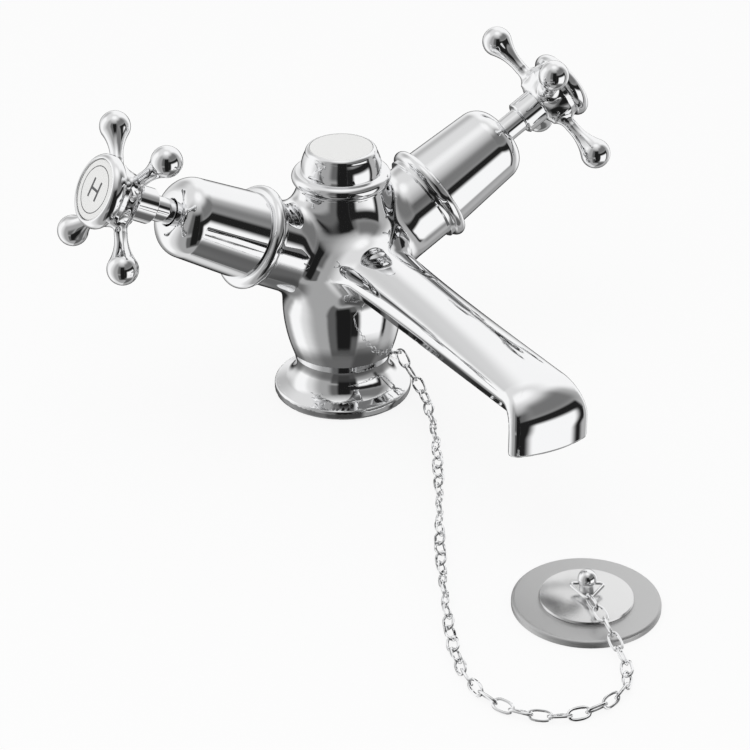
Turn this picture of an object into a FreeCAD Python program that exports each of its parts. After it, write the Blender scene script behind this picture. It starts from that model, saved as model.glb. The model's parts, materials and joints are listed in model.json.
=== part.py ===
import FreeCAD, Part
import math
import os
import re

import Sketcher
from FreeCAD import Placement, Rotation, Vector

# Basin mixer with two cross handles, a cast spout, and a plug on a chain with its waste.
# Millimetres and degrees. The deck surface is z = 0, the column stands on the Z axis,
# the spout points to -Y, hot is at -X and cold at +X.

SIZES = {
    # Clearances
    "thread_gap": 0.1,
    "running_gap": 0.1,
    "seat_gap": 0.1,
    # Deck flange and column
    "flange_radius": 26.0,
    "flange_rim": 2.6,
    "flange_edge": 1.2,
    "flange_slope_radius": 21.4,
    "flange_slope_height": 5.2,
    "neck_radius": 17.8,
    "neck_height": 12.0,
    "sweep_radius": 18.75,
    "sweep_height": 17.2,
    "belly_radius": 22.5,
    "belly_height": 38.0,
    "crown_radius": 16.2,
    "crown_height": 85.5,
    # Arms and their valve sockets
    "arm_tilt": 28.9,
    "arm_meet_height": 52.1,
    "arm_radius": 16.0,
    "arm_length": 39.0,
    "seat_station": 22.0,
    "port_station": 8.0,
    "port_radius": 4.5,
    # Waterways
    "chamber_radius": 9.0,
    "chamber_floor": 64.0,
    "cap_thread_radius": 10.9,
    "cap_thread_length": 9.0,
    "gallery_radius": 2.5,
    "gallery_height": 73.0,
    "gallery_reach": 17.0,
    "inlet_radius": 4.5,
    "inlet_thread": 14.0,
    "riser_radius": 3.8,
    "riser_top": 58.0,
    "inlet_offset": 9.0,
    # Spout
    "root_distance": 8.0,
    "root_half_width": 12.4,
    "root_floor_half": 10.0,
    "root_floor": 53.2,
    "root_edge": 60.0,
    "root_corner": 4.8,
    "root_crown": 6.5,
    "spout_reach": 132.0,
    "spout_half_width": 13.2,
    "spout_floor_half": 9.2,
    "spout_floor": 57.6,
    "spout_edge": 64.4,
    "spout_corner": 3.6,
    "spout_crown": 1.8,
    "elbow_inner": 2.0,
    "tip_flare": 2.0,
    "tip_floor_flare": 0.5,
    "outlet_height": 48.0,
    "passage_radius": 3.8,
    "passage_height": 63.2,
    "outlet_radius": 4.8,
    "outlet_depth": 7.0,
    "arm_blend": 2.0,
    "spout_blend": 1.5,
    # Fixing under the deck
    "gasket_inner": 19.0,
    "gasket_outer": 23.0,
    "gasket_thickness": 2.0,
    "stud_radius": 4.0,
    "stud_offset": 11.0,
    "stud_engagement": 14.0,
    "stud_drop": 52.0,
    "clamp_radius": 24.0,
    "clamp_slot_half": 15.5,
    "clamp_slot_reach": 5.5,
    "rubber_thickness": 3.0,
    "plate_thickness": 2.5,
    "deck_thickness": 25.0,
    "nut_flats": 13.0,
    "nut_height": 6.5,
    # Collar and bell on each arm
    "collar_lip": 1.5,
    "collar_bead": 4.7,
    "bead_share": 0.52,
    "collar_radius": 17.5,
    "bell_length": 34.2,
    "bell_root_radius": 16.2,
    "bell_shoulder_radius": 14.8,
    "bell_shoulder": 8.4,
    "bell_round": 8.57,
    "bell_end_radius": 7.6,
    "bell_hole_radius": 6.3,
    "bell_wall": 2.2,
    # Valve cartridge
    "washer_inner": 5.0,
    "washer_outer": 8.8,
    "washer_thickness": 2.0,
    "disc_radius": 7.7,
    "fixed_disc": 2.8,
    "moving_disc": 3.0,
    "disc_port_radius": 2.0,
    "disc_port_offset": 4.4,
    "barrel_radius": 9.3,
    "barrel_wall": 1.4,
    "barrel_window": 1.7,
    "thread_radius": 11.95,
    "thread_length": 6.0,
    "head_radius": 13.5,
    "head_length": 6.8,
    "shoulder_radius": 9.5,
    "shoulder_length": 8.0,
    "gland_radius": 7.5,
    "gland_setback": 4.6,
    # Spindle
    "spindle_radius": 4.6,
    "drive_radius": 6.3,
    "drive_length": 3.3,
    "tongue_width": 2.4,
    "tongue_length": 10.0,
    "tongue_depth": 1.3,
    "groove_depth": 1.0,
    "ring_groove": 1.2,
    "ring_setback": 12.0,
    "clip_thickness": 1.0,
    "clip_radius": 5.9,
    "clip_mouth": 4.0,
    "square_side": 5.6,
    "square_length": 6.6,
    # Handle
    "stem_show": 8.4,
    "sleeve_length": 8.4,
    "sleeve_radius": 6.5,
    "hub_back_radius": 7.0,
    "hub_radius": 11.6,
    "hub_length": 9.8,
    "hub_rim": 2.0,
    "hub_web": 1.8,
    "boss_radius": 9.8,
    "boss_length": 1.7,
    "boss_recess": 7.2,
    "arm_start": 5.0,
    "cross_setback": 4.7,
    "arm_root_radius": 4.4,
    "arm_root": 9.5,
    "waist_radius": 2.4,
    "waist": 14.5,
    "waist_share": 1.4,
    "ball_radius": 5.6,
    "swell_share": 0.86,
    "ball_distance": 28.5,
    "hot_turn": 48.5,
    "cold_turn": 43.5,
    "bezel_radius": 13.5,
    "bezel_back_radius": 12.3,
    "bezel_lip_radius": 11.9,
    "bezel_belly": 2.3,
    "bezel_length": 5.3,
    "bezel_ledge": 2.0,
    "index_radius": 11.0,
    "index_thickness": 2.8,
    "index_edge": 0.56,
    "screw_radius": 2.0,
    "screw_length": 12.0,
    "screw_head_radius": 3.6,
    "screw_head": 2.4,
    "screw_slot": 1.0,
    # Top cap
    "cap_lip_radius": 17.0,
    "cap_lip": 0.9,
    "cap_bead_root": 16.6,
    "cap_bead": 4.6,
    "cap_wall_radius": 15.0,
    "cap_shoulder_radius": 12.9,
    "cap_shoulder_rise": 13.7,
    "cap_edge": 1.0,
    "cap_edge_round": 1.1,
    "cap_bore": 8.0,
    "cap_roof": 2.6,
    "cap_seal_radius": 14.4,
    "cap_seal_thickness": 1.2,
    "top_disc_radius": 11.6,
    "top_disc_thickness": 2.4,
    # Outlet
    "straightener_wall": 0.9,
    "straightener_bar": 0.8,
    # Waste in the basin
    "waste_distance": 168.0,
    "waste_flange_radius": 25.0,
    "waste_flange": 2.4,
    "waste_thread_radius": 20.95,
    "waste_length": 62.0,
    "runout_drop": 32.0,
    "runout_width": 1.0,
    "runout_depth": 0.5,
    "waste_bore": 17.8,
    "waste_mouth_radius": 14.9,
    "waste_mouth_depth": 6.0,
    "slot_width": 9.0,
    "slot_top": 6.0,
    "slot_bottom": 15.0,
    "basin_thickness": 18.0,
    "waste_washer_radius": 28.0,
    "waste_washer": 3.0,
    "backnut_flats": 52.0,
    "backnut_height": 9.0,
    # Plug
    "plug_radius": 15.8,
    "plug_edge": 1.2,
    "plug_crown": 2.1,
    "plug_seal_top": 14.6,
    "plug_seal_bottom": 12.6,
    "plug_seal": 7.0,
    "post_radius": 2.6,
    "post_head_radius": 3.2,
    "post_head_rise": 4.6,
    "post_tail_radius": 2.0,
    "plug_nut_flats": 7.0,
    "plug_nut": 3.0,
    "shackle_rise": 2.8,
    "shackle_wire": 1.2,
    "shackle_width": 12.4,
    "shackle_height": 8.6,
    "shackle_corner": 1.0,
    "shackle_tip": 1.6,
    "shackle_hang": 8.0,
    "shackle_heading": -29.4,
    # Chain
    "link_wire": 0.85,
    "link_length": 8.2,
    "link_width": 4.3,
    "link_slack": 0.25,
    "stay_heading": -31.0,
    "stay_height": 15.0,
    "stay_shank": 1.1,
    "stay_depth": 4.5,
    "stay_stand": 1.0,
    "stay_eye": 1.6,
    "stay_wire": 1.2,
}

# The chain's line, in order from the stay to the plug
CHAIN_ROUTE = [
    Vector(19.2, -15.6, 10.4),
    Vector(21.0, -22.8, 5.6),
    Vector(18.0, -35.0, 2.3),
    Vector(9.4, -54.0, 1.75),
    Vector(-0.6, -72.6, 1.75),
    Vector(-10.7, -90.3, 1.75),
    Vector(-20.3, -106.6, 1.75),
    Vector(-28.4, -120.8, 1.75),
    Vector(-35.6, -134.6, 1.75),
    Vector(-43.2, -149.6, 1.75),
    Vector(-50.6, -165.0, 1.75),
    Vector(-56.2, -179.5, 1.75),
    Vector(-58.5, -193.5, 1.75),
    Vector(-54.3, -207.0, 1.75),
    Vector(-44.5, -216.8, 1.75),
    Vector(-31.5, -220.2, 1.75),
    Vector(-18.6, -217.2, 1.75),
    Vector(-10.4, -209.0, 1.75),
    Vector(-7.8, -200.6, 2.3),
    Vector(-6.4, -193.0, 4.7),
    Vector(-5.0, -186.0, 6.7),
    Vector(-4.2, -180.2, 7.6),
]
BEND_SHARE = 0.45
LINK_ROLL = 45
TWIST_LINKS = 6
TAIL_LINKS = 7
END_LINKS = 2
TOUCH = 1e-6

doc = FreeCAD.newDocument("basin_mixer")
sheet = doc.addObject("Spreadsheet::Sheet", "Sizes")
for row, (alias, value) in enumerate(SIZES.items(), start=1):
    sheet.set(f"A{row}", alias)
    sheet.set(f"B{row}", str(value))
    sheet.setAlias(f"B{row}", alias)
doc.recompute()

pieces = []
SIDES = {"hot": -1, "cold": 1}


def bound(expression):
    """The expression with every size written as a reference to the sheet."""
    return re.sub(
        r"[a-z][a-z_]*",
        lambda word: f"Sizes.{word[0]}" if word[0] in SIZES else word[0],
        expression,
    )


def number(expression):
    """The present value of an expression written with the sizes' names."""
    return float(sheet.evalExpression(bound(expression)))


# Stations along an arm's axis, counted from where it meets the column's axis
FIXED_DISC = "(seat_station + washer_thickness)"
MOVING_DISC = f"({FIXED_DISC} + fixed_disc + running_gap)"
DRIVE = f"({MOVING_DISC} + moving_disc + running_gap)"
CAVITY_TOP = f"({DRIVE} + drive_length + running_gap)"
COLLAR_FRONT = "(arm_length + collar_lip + collar_bead)"
HEAD_FRONT = f"({COLLAR_FRONT} + head_length)"
BELL_END = f"({COLLAR_FRONT} + bell_length)"
GLAND_END = f"({BELL_END} - gland_setback)"
RING_GROOVE = f"({GLAND_END} - ring_setback)"
CLIP = f"({GLAND_END} + seat_gap)"
SLEEVE_BACK = f"({BELL_END} + stem_show)"
HUB_BACK = f"({SLEEVE_BACK} + sleeve_length + seat_gap)"
CROSS = f"({HUB_BACK} + cross_setback)"
HUB_FRONT = f"({HUB_BACK} + hub_length)"
SQUARE_END = f"({HUB_BACK} + square_length)"
WEB_FRONT = f"({SQUARE_END} + seat_gap + hub_web)"
BEZEL_BACK = f"({HUB_FRONT} + seat_gap)"
BEZEL_LEDGE = f"({BEZEL_BACK} + bezel_ledge)"
INDEX_BACK = f"({BEZEL_LEDGE} + seat_gap)"
# Heights on the top cap, the plug and under the deck
CAP_RING = "(crown_height + cap_lip + cap_bead)"
CAP_TOP = "(crown_height + cap_shoulder_rise + cap_edge)"
TOP_DISC_FLOOR = f"({CAP_TOP} - top_disc_thickness)"
PLUG_BASE = "(waste_flange + seat_gap)"
PLUG_TOP = f"({PLUG_BASE} + plug_edge + plug_crown)"
SHACKLE_HEIGHT = f"({PLUG_TOP} + shackle_rise)"
BEND_HEIGHT = "(spout_floor - elbow_inner)"
STAY_FLOOR = "(neck_radius - stay_depth)"
CLAMP_TOP = "(-deck_thickness)"
PLATE_TOP = f"({CLAMP_TOP} - rubber_thickness)"
NUT_TOP = f"({PLATE_TOP} - plate_thickness)"


def arm_frame(side):
    """Frame of an arm: its Z runs out along the arm, its X along one handle arm."""
    lean = Rotation(Vector(0, 1, 0), SIDES[side] * number("90 - arm_tilt"))
    spin = Rotation(Vector(0, 0, 1), number(f"{side}_turn"))
    return Placement(Vector(0, 0, number("arm_meet_height")), lean * spin)


def waste_frame():
    """Frame of the waste and the plug, on the deck in front of the spout."""
    return Placement(Vector(0, -number("waste_distance"), 0), Rotation())


def new_body(label, placement=Placement()):
    """An empty body for one piece."""
    body = doc.addObject("PartDesign::Body", label)
    body.Label = label
    body.Placement = placement
    pieces.append(body)
    return body


def new_sketch(body, name, plane="XZ_Plane", shift=("0", "0", "0"), turn="0", turn_axis=(0, 0, 1)):
    """A sketch on an origin plane of its body, shifted and turned in that plane's own axes."""
    sketch = body.newObject("Sketcher::SketchObject", name)
    support = next(item for item in body.Origin.OriginFeatures if item.Role == plane)
    sketch.AttachmentSupport = (support, [""])
    sketch.MapMode = "FlatFace"
    sketch.AttachmentOffset = Placement(Vector(), Rotation(Vector(*turn_axis), number(turn)))
    if turn != "0":
        sketch.setExpression("AttachmentOffset.Rotation.Angle", bound(turn))
    for axis, amount in zip("xyz", shift):
        if amount != "0":
            sketch.setExpression(f"AttachmentOffset.Base.{axis}", bound(amount))
    return sketch


def pin_point(sketch, geometry, end, across, along):
    """Holds one end of a sketch element at a place given by two expressions."""
    for kind, axis_line, expression in (("DistanceX", -2, across), ("DistanceY", -1, along)):
        if expression == "0":
            sketch.addConstraint(Sketcher.Constraint("PointOnObject", geometry, end, axis_line))
        else:
            place = Sketcher.Constraint(kind, -1, 1, geometry, end, number(expression))
            index = sketch.addConstraint(place)
            sketch.setExpression(f"Constraints[{index}]", bound(expression))


def arc_between(start, stop, radius, turn):
    """The arc shorter than a half circle from start to stop; turn is 1 for anticlockwise."""
    chord = stop - start
    rise = math.sqrt(max(radius**2 - chord.Length**2 / 4, 0))
    left = Vector(-chord.y, chord.x, 0).normalize()
    centre = (start + stop) * 0.5 + left * rise * turn
    first, last = (start, stop) if turn > 0 else (stop, start)
    angles = [math.atan2(point.y - centre.y, point.x - centre.x) for point in (first, last)]
    return Part.ArcOfCircle(Part.Circle(centre, Vector(0, 0, 1), radius), *angles)


def draw(sketch, points, closed=True):
    """Draws lines and arcs through points, each an across and an along expression.

    A point with a radius and a turn besides starts an arc, and any other point a line.
    """
    corners = [Vector(number(point[0]), number(point[1]), 0) for point in points]
    count = len(points) if closed else len(points) - 1
    ends = []
    for index in range(count):
        start, stop = corners[index], corners[(index + 1) % len(points)]
        if len(points[index]) == 2:
            geometry = sketch.addGeometry(Part.LineSegment(start, stop))
            ends.append((geometry, 1, 2))
        else:
            radius, turn = points[index][2:]
            geometry = sketch.addGeometry(arc_between(start, stop, number(radius), turn))
            ends.append((geometry, 1, 2) if turn > 0 else (geometry, 2, 1))
            held = sketch.addConstraint(Sketcher.Constraint("Radius", geometry, number(radius)))
            sketch.setExpression(f"Constraints[{held}]", bound(radius))
    for index in range(count if closed else count - 1):
        geometry, _, last = ends[index]
        following, first, _ = ends[(index + 1) % count]
        sketch.addConstraint(Sketcher.Constraint("Coincident", geometry, last, following, first))
    for point, (geometry, first, _) in zip(points, ends):
        pin_point(sketch, geometry, first, point[0], point[1])
    if not closed:
        geometry, _, last = ends[-1]
        pin_point(sketch, geometry, last, points[-1][0], points[-1][1])


def draw_circle(sketch, across, along, radius):
    """Draws a circle whose centre and radius are expressions."""
    centre = Vector(number(across), number(along), 0)
    circle = Part.Circle(centre, Vector(0, 0, 1), number(radius))
    geometry = sketch.addGeometry(circle)
    held = sketch.addConstraint(Sketcher.Constraint("Radius", geometry, number(radius)))
    sketch.setExpression(f"Constraints[{held}]", bound(radius))
    pin_point(sketch, geometry, 3, across, along)


def revolve(body, name, points, cut=False, axis="V_Axis", angle=360, **frame):
    """Turns a profile about its sketch's axis, adding to the body or cutting it."""
    sketch = new_sketch(body, f"{name}_profile", **frame)
    draw(sketch, points)
    kind = "PartDesign::Groove" if cut else "PartDesign::Revolution"
    feature = body.newObject(kind, name)
    feature.Profile = sketch
    feature.ReferenceAxis = (sketch, [axis])
    feature.Angle = angle
    return feature


def pad(body, name, sketch, length, cut=False, backwards=False):
    """Extrudes a sketch along its normal, or against it, adding or cutting."""
    feature = body.newObject("PartDesign::Pocket" if cut else "PartDesign::Pad", name)
    feature.Profile = sketch
    feature.setExpression("Length", bound(length))
    feature.Reversed = backwards
    return feature


def turned(label, points, placement=Placement()):
    """A piece that is one turned profile, as radius and height expressions."""
    body = new_body(label, placement)
    revolve(body, f"{label}_turning", points)
    return body


def ring_profile(inner, outer, bottom, top):
    """A square-edged ring's profile."""
    return [(inner, bottom), (outer, bottom), (outer, top), (inner, top)]


def rounding(first, second):
    """Radius of the arc that leaves the second point upright and passes the first."""
    across = f"({first[0]} - {second[0]})"
    along = f"({first[1]} - {second[1]})"
    return f"(({across}^2 + {along}^2) / (2 * abs({across})))"


def spout_section(half_width, floor_half, floor, edge, corner, crown, lift="0", flip=False):
    """A crowned section with rounded shoulders and drawn-in sides, as a closed outline."""
    flat = f"({half_width} - {corner})"
    bow = f"(({flat}^2 + {crown}^2) / (2 * {crown}))"
    outline = [
        (f"-({floor_half})", floor),
        (floor_half, floor),
        (half_width, edge, corner, 1),
        (flat, f"({edge} + {corner})", bow, 1),
        (f"-{flat}", f"({edge} + {corner})", corner, 1),
        (f"-({half_width})", edge),
    ]
    if flip:
        return [(p[0], f"-(spout_reach + {p[1]} - {lift})", *p[2:3], *[-1][: len(p) - 3]) for p in outline]
    return [(p[0], p[1] if lift == "0" else f"{p[1]} - {lift}", *p[2:]) for p in outline]


END_SECTION = (
    "spout_half_width",
    "spout_floor_half",
    "spout_floor",
    "spout_edge",
    "spout_corner",
    "spout_crown",
)
ROOT_SECTION = (
    "root_half_width",
    "root_floor_half",
    "root_floor",
    "root_edge",
    "root_corner",
    "root_crown",
)
TIP_SECTION = ("(spout_half_width + tip_flare)", "(spout_floor_half + tip_floor_flare)") + END_SECTION[2:]


def loft(body, name, first, second):
    """A ruled body between two sections."""
    feature = body.newObject("PartDesign::AdditiveLoft", name)
    feature.Profile = first
    feature.Sections = [second]
    feature.Ruled = True
    return feature


def build_column(body):
    """Deck flange, hollow neck, belly and crown, turned about the column's axis."""
    sweep = ("sweep_radius", "sweep_height")
    neck = ("neck_radius", "neck_height")
    belly = ("belly_radius", "belly_height")
    crown = ("crown_radius", "crown_height")
    slope = ("flange_slope_radius", "flange_slope_height")
    profile = [
        ("0", "0"),
        ("flange_radius", "0"),
        ("flange_radius", "flange_rim", "flange_edge", 1),
        ("flange_radius - flange_edge", "flange_rim + flange_edge"),
        (*slope, rounding(slope, neck), -1),
        (*neck, rounding(sweep, neck), -1),
        (*sweep, rounding(sweep, belly), 1),
        (*belly, rounding(crown, belly), 1),
        crown,
        ("0", "crown_height"),
    ]
    revolve(body, "column", profile)


def build_arms(body):
    """One straight arm to each side, tilted up from the column."""
    for side, sign in SIDES.items():
        revolve(
            body,
            f"{side}_arm",
            [("0", "0"), ("arm_radius", "0"), ("arm_radius", "arm_length"), ("0", "arm_length")],
            shift=("0", "arm_meet_height", "0"),
            turn=f"{-sign} * (90 - arm_tilt)",
        )


def build_spout(body):
    """The spout: a tapering run, a tight elbow and a short flared tip."""
    root = new_sketch(body, "spout_root", shift=("0", "0", "root_distance"))
    draw(root, spout_section(*ROOT_SECTION))
    end = new_sketch(body, "spout_end", shift=("0", "0", "spout_reach"))
    draw(end, spout_section(*END_SECTION))
    loft(body, "spout_run", root, end)
    revolve(
        body,
        "spout_elbow",
        spout_section(*END_SECTION, lift=BEND_HEIGHT),
        axis="H_Axis",
        angle=90,
        shift=("0", BEND_HEIGHT, "spout_reach"),
    )
    upper = new_sketch(body, "tip_upper", plane="XY_Plane", shift=("0", "0", BEND_HEIGHT))
    draw(upper, spout_section(*END_SECTION, lift=BEND_HEIGHT, flip=True))
    lower = new_sketch(body, "tip_lower", plane="XY_Plane", shift=("0", "0", "outlet_height"))
    draw(lower, spout_section(*TIP_SECTION, lift=BEND_HEIGHT, flip=True))
    loft(body, "spout_tip", upper, lower)


def crease_edges(shape, first, second):
    """Names of the curved edges where a face of each of two surface kinds meet."""
    wanted = sorted((first, second))
    names = []
    for index, edge in enumerate(shape.Edges, start=1):
        faces = shape.ancestorsOfType(edge, Part.Face)
        kinds = sorted(type(face.Surface).__name__ for face in faces)
        if kinds == wanted and isinstance(edge.Curve, Part.BSplineCurve):
            names.append(f"Edge{index}")
    return names


def round_creases(body, name, radius, first, second):
    """Rounds the edges where two kinds of surface meet."""
    doc.recompute()
    base = body.Tip
    feature = body.newObject("PartDesign::Fillet", name)
    feature.Base = (base, crease_edges(base.Shape, first, second))
    feature.setExpression("Radius", bound(radius))


def bore_waterways(body):
    """Valve sockets, mixing chamber, galleries, spout passage and inlets."""
    for side, sign in SIDES.items():
        socket = "(thread_radius + thread_gap)"
        profile = [
            ("0", "port_station"),
            ("port_radius", "port_station"),
            ("port_radius", "seat_station"),
            (socket, "seat_station"),
            (socket, "arm_length + collar_lip"),
            ("0", "arm_length + collar_lip"),
        ]
        revolve(
            body,
            f"{side}_socket",
            profile,
            cut=True,
            shift=("0", "arm_meet_height", "0"),
            turn=f"{-sign} * (90 - arm_tilt)",
        )
    tapped = "(cap_thread_radius + thread_gap)"
    tapped_floor = "(crown_height - cap_thread_length - seat_gap)"
    chamber = [
        ("0", "chamber_floor"),
        ("chamber_radius", "chamber_floor"),
        ("chamber_radius", tapped_floor),
        (tapped, tapped_floor),
        (tapped, "crown_height - cap_seal_thickness"),
        ("cap_seal_radius", "crown_height - cap_seal_thickness"),
        ("cap_seal_radius", "crown_height"),
        ("0", "crown_height"),
    ]
    revolve(body, "mixing_chamber", chamber, cut=True)
    gallery = [
        ("-gallery_reach", "0"),
        ("gallery_reach", "0"),
        ("gallery_reach", "gallery_radius"),
        ("-gallery_reach", "gallery_radius"),
    ]
    lifted = ("0", "gallery_height", "0")
    revolve(body, "gallery", gallery, cut=True, axis="H_Axis", shift=lifted)
    spine = new_sketch(body, "passage_spine", plane="YZ_Plane")
    outlet_line = f"(-spout_reach - passage_height + {BEND_HEIGHT})"
    route = [
        ("-chamber_radius / 2", "passage_height"),
        ("-spout_reach", "passage_height", f"(passage_height - {BEND_HEIGHT})", 1),
        (outlet_line, BEND_HEIGHT),
        (outlet_line, "outlet_height + outlet_depth / 2"),
    ]
    draw(spine, route, closed=False)
    mouth = new_sketch(body, "passage_mouth", shift=("0", "0", "chamber_radius / 2"))
    draw_circle(mouth, "0", "passage_height", "passage_radius")
    passage = body.newObject("PartDesign::SubtractivePipe", "passage")
    passage.Profile = mouth
    passage.Spine = spine
    outlet = new_sketch(body, "outlet_seat", plane="XY_Plane", shift=("0", "0", "outlet_height"))
    draw_circle(outlet, "0", outlet_line, "outlet_radius")
    pad(body, "outlet_bore", outlet, "outlet_depth", cut=True, backwards=True)
    bores = {"inlet": ("inlet_radius", "inlet_thread"), "riser": ("riser_radius", "riser_top")}
    for name, (radius, depth) in bores.items():
        mouths = new_sketch(body, f"{name}_mouths", plane="XY_Plane")
        for sign in SIDES.values():
            draw_circle(mouths, f"{sign} * inlet_offset", "0", radius)
        pad(body, f"{name}_bores", mouths, depth, cut=True, backwards=True)


def cut_fixings(body):
    """Gasket groove, tapped hole for the stud and hole for the chain stay."""
    groove = ring_profile("gasket_inner", "gasket_outer", "0", "gasket_thickness")
    revolve(body, "gasket_groove", groove, cut=True)
    tapping = new_sketch(body, "stud_mouth", plane="XY_Plane")
    draw_circle(tapping, "0", "stud_offset", "stud_radius + thread_gap")
    pad(body, "stud_hole", tapping, "stud_engagement + seat_gap", cut=True, backwards=True)
    stay = new_sketch(
        body,
        "stay_mouth",
        plane="YZ_Plane",
        shift=(f"{STAY_FLOOR} * sin(stay_heading)", "stay_height", f"{STAY_FLOOR} * cos(stay_heading)"),
        turn="stay_heading",
        turn_axis=(0, 1, 0),
    )
    draw_circle(stay, "0", "0", "stay_shank + thread_gap")
    pad(body, "stay_hole", stay, "stay_depth + stay_eye", cut=True, backwards=True)


def build_mixer_body():
    """The hollow casting: column, arms and spout in one piece."""
    body = new_body("mixer_body")
    build_column(body)
    build_arms(body)
    build_spout(body)
    round_creases(body, "spout_blends", "spout_blend", "BSplineSurface", "SurfaceOfRevolution")
    round_creases(body, "arm_blends", "arm_blend", "Cylinder", "SurfaceOfRevolution")
    bore_waterways(body)
    cut_fixings(body)


def rectangle(half_across, half_along):
    """Corners of a rectangle about the origin."""
    return [
        (f"-({half_across})", f"-({half_along})"),
        (half_across, f"-({half_along})"),
        (half_across, half_along),
        (f"-({half_across})", half_along),
    ]


def hexagon(flats):
    """A hexagon's corners, as expressions of its width across flats."""
    corner = f"({flats} / sqrt(3))"
    return [
        (corner, "0"),
        (f"{corner} / 2", f"{flats} / 2"),
        (f"-{corner} / 2", f"{flats} / 2"),
        (f"-{corner}", "0"),
        (f"-{corner} / 2", f"-{flats} / 2"),
        (f"{corner} / 2", f"-{flats} / 2"),
    ]


def nut(label, flats, height, bore, top, placement=Placement()):
    """A hexagon nut that hangs below a height, with its bore."""
    body = new_body(label, placement)
    sketch = new_sketch(body, f"{label}_outline", plane="XY_Plane", shift=("0", "0", top))
    draw(sketch, hexagon(flats))
    draw_circle(sketch, "0", "0", bore)
    pad(body, f"{label}_body", sketch, height, backwards=True)


def horseshoe(label, top, thickness):
    """A clamp washer open towards the front, with a hole for the stud behind."""
    body = new_body(label)
    sketch = new_sketch(body, f"{label}_outline", plane="XY_Plane", shift=("0", "0", top))
    reach = "sqrt(clamp_radius^2 - clamp_slot_half^2)"
    outline = [
        ("clamp_slot_half", f"-{reach}", "clamp_radius", 1),
        ("clamp_radius", "0", "clamp_radius", 1),
        ("0", "clamp_radius", "clamp_radius", 1),
        ("-clamp_radius", "0", "clamp_radius", 1),
        ("-clamp_slot_half", f"-{reach}"),
        ("-clamp_slot_half", "clamp_slot_reach"),
        ("clamp_slot_half", "clamp_slot_reach"),
    ]
    draw(sketch, outline)
    draw_circle(sketch, "0", "stud_offset", "stud_radius + thread_gap")
    pad(body, f"{label}_body", sketch, thickness, backwards=True)


def build_deck_fixing():
    """Gasket, stud, clamp washers and nut that hold the mixer to its deck."""
    turned("base_gasket", ring_profile(
        "gasket_inner + thread_gap",
        "gasket_outer - thread_gap",
        "0",
        "gasket_thickness - seat_gap",
    ))
    behind = Placement(Vector(0, number("stud_offset"), 0), Rotation())
    tip = "stud_radius - groove_depth"
    turned(
        "fixing_stud",
        [
            ("0", "-stud_drop"),
            (tip, "-stud_drop"),
            ("stud_radius", "groove_depth - stud_drop"),
            ("stud_radius", "stud_engagement - groove_depth"),
            (tip, "stud_engagement"),
            ("0", "stud_engagement"),
        ],
        behind,
    )
    horseshoe("rubber_horseshoe", CLAMP_TOP, "rubber_thickness")
    horseshoe("steel_horseshoe", PLATE_TOP, "plate_thickness")
    nut("fixing_nut", "nut_flats", "nut_height", "stud_radius + thread_gap", NUT_TOP, behind)


def build_top_cap():
    """Screwed cap with a bead, its seal and its ceramic disc."""
    spigot = "(crown_height - cap_thread_length)"
    shoulder = "(crown_height + cap_shoulder_rise)"
    wall = ("cap_wall_radius", CAP_RING)
    brow = ("cap_shoulder_radius", shoulder)
    disc_bore = "(top_disc_radius + thread_gap)"
    turned(
        "top_cap",
        [
            ("cap_bore", spigot),
            ("cap_thread_radius", spigot),
            ("cap_thread_radius", "crown_height"),
            ("cap_lip_radius", "crown_height"),
            ("cap_lip_radius", "crown_height + cap_lip"),
            ("cap_bead_root", "crown_height + cap_lip", "cap_bead * bead_share", 1),
            ("cap_bead_root", CAP_RING),
            (*wall, "cap_shoulder_rise * 2", -1),
            (*brow, "cap_edge_round", 1),
            (disc_bore, CAP_TOP),
            (disc_bore, f"{TOP_DISC_FLOOR} - seat_gap"),
            ("0", f"{TOP_DISC_FLOOR} - seat_gap"),
            ("0", f"{TOP_DISC_FLOOR} - cap_roof"),
            ("cap_bore", f"{TOP_DISC_FLOOR} - cap_roof"),
        ],
    )
    turned("top_cap_seal", ring_profile(
        "cap_thread_radius + thread_gap",
        "cap_seal_radius - thread_gap",
        "crown_height - cap_seal_thickness",
        "crown_height - seat_gap / 2",
    ))
    turned(
        "top_index_disc",
        [
            ("0", TOP_DISC_FLOOR),
            ("top_disc_radius", TOP_DISC_FLOOR),
            ("top_disc_radius", f"{CAP_TOP} - cap_edge / 4", "cap_edge / 4", 1),
            ("top_disc_radius - cap_edge / 4", CAP_TOP),
            ("0", CAP_TOP),
        ],
    )


def build_outlet():
    """Flow straightener pressed into the outlet: a short tube with crossed bars."""
    centre = f"(-spout_reach - passage_height + {BEND_HEIGHT})"
    body = new_body("outlet_straightener", Placement(Vector(0, number(centre), 0), Rotation()))
    outer = "(outlet_radius - thread_gap)"
    inner = f"({outer} - straightener_wall)"
    top = "(outlet_height + outlet_depth - seat_gap)"
    revolve(body, "straightener_tube", ring_profile(inner, outer, "outlet_height + seat_gap", top))
    level = ("0", "0", "(outlet_height + outlet_depth / 2)")
    for name, across, along in (
        ("bar_across", f"({outer} - straightener_wall / 2)", "straightener_bar / 2"),
        ("bar_along", "straightener_bar / 2", f"({outer} - straightener_wall / 2)"),
    ):
        sketch = new_sketch(body, f"{name}_outline", plane="XY_Plane", shift=level)
        draw(sketch, rectangle(across, along))
        pad(body, name, sketch, "outlet_depth / 3")


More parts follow.
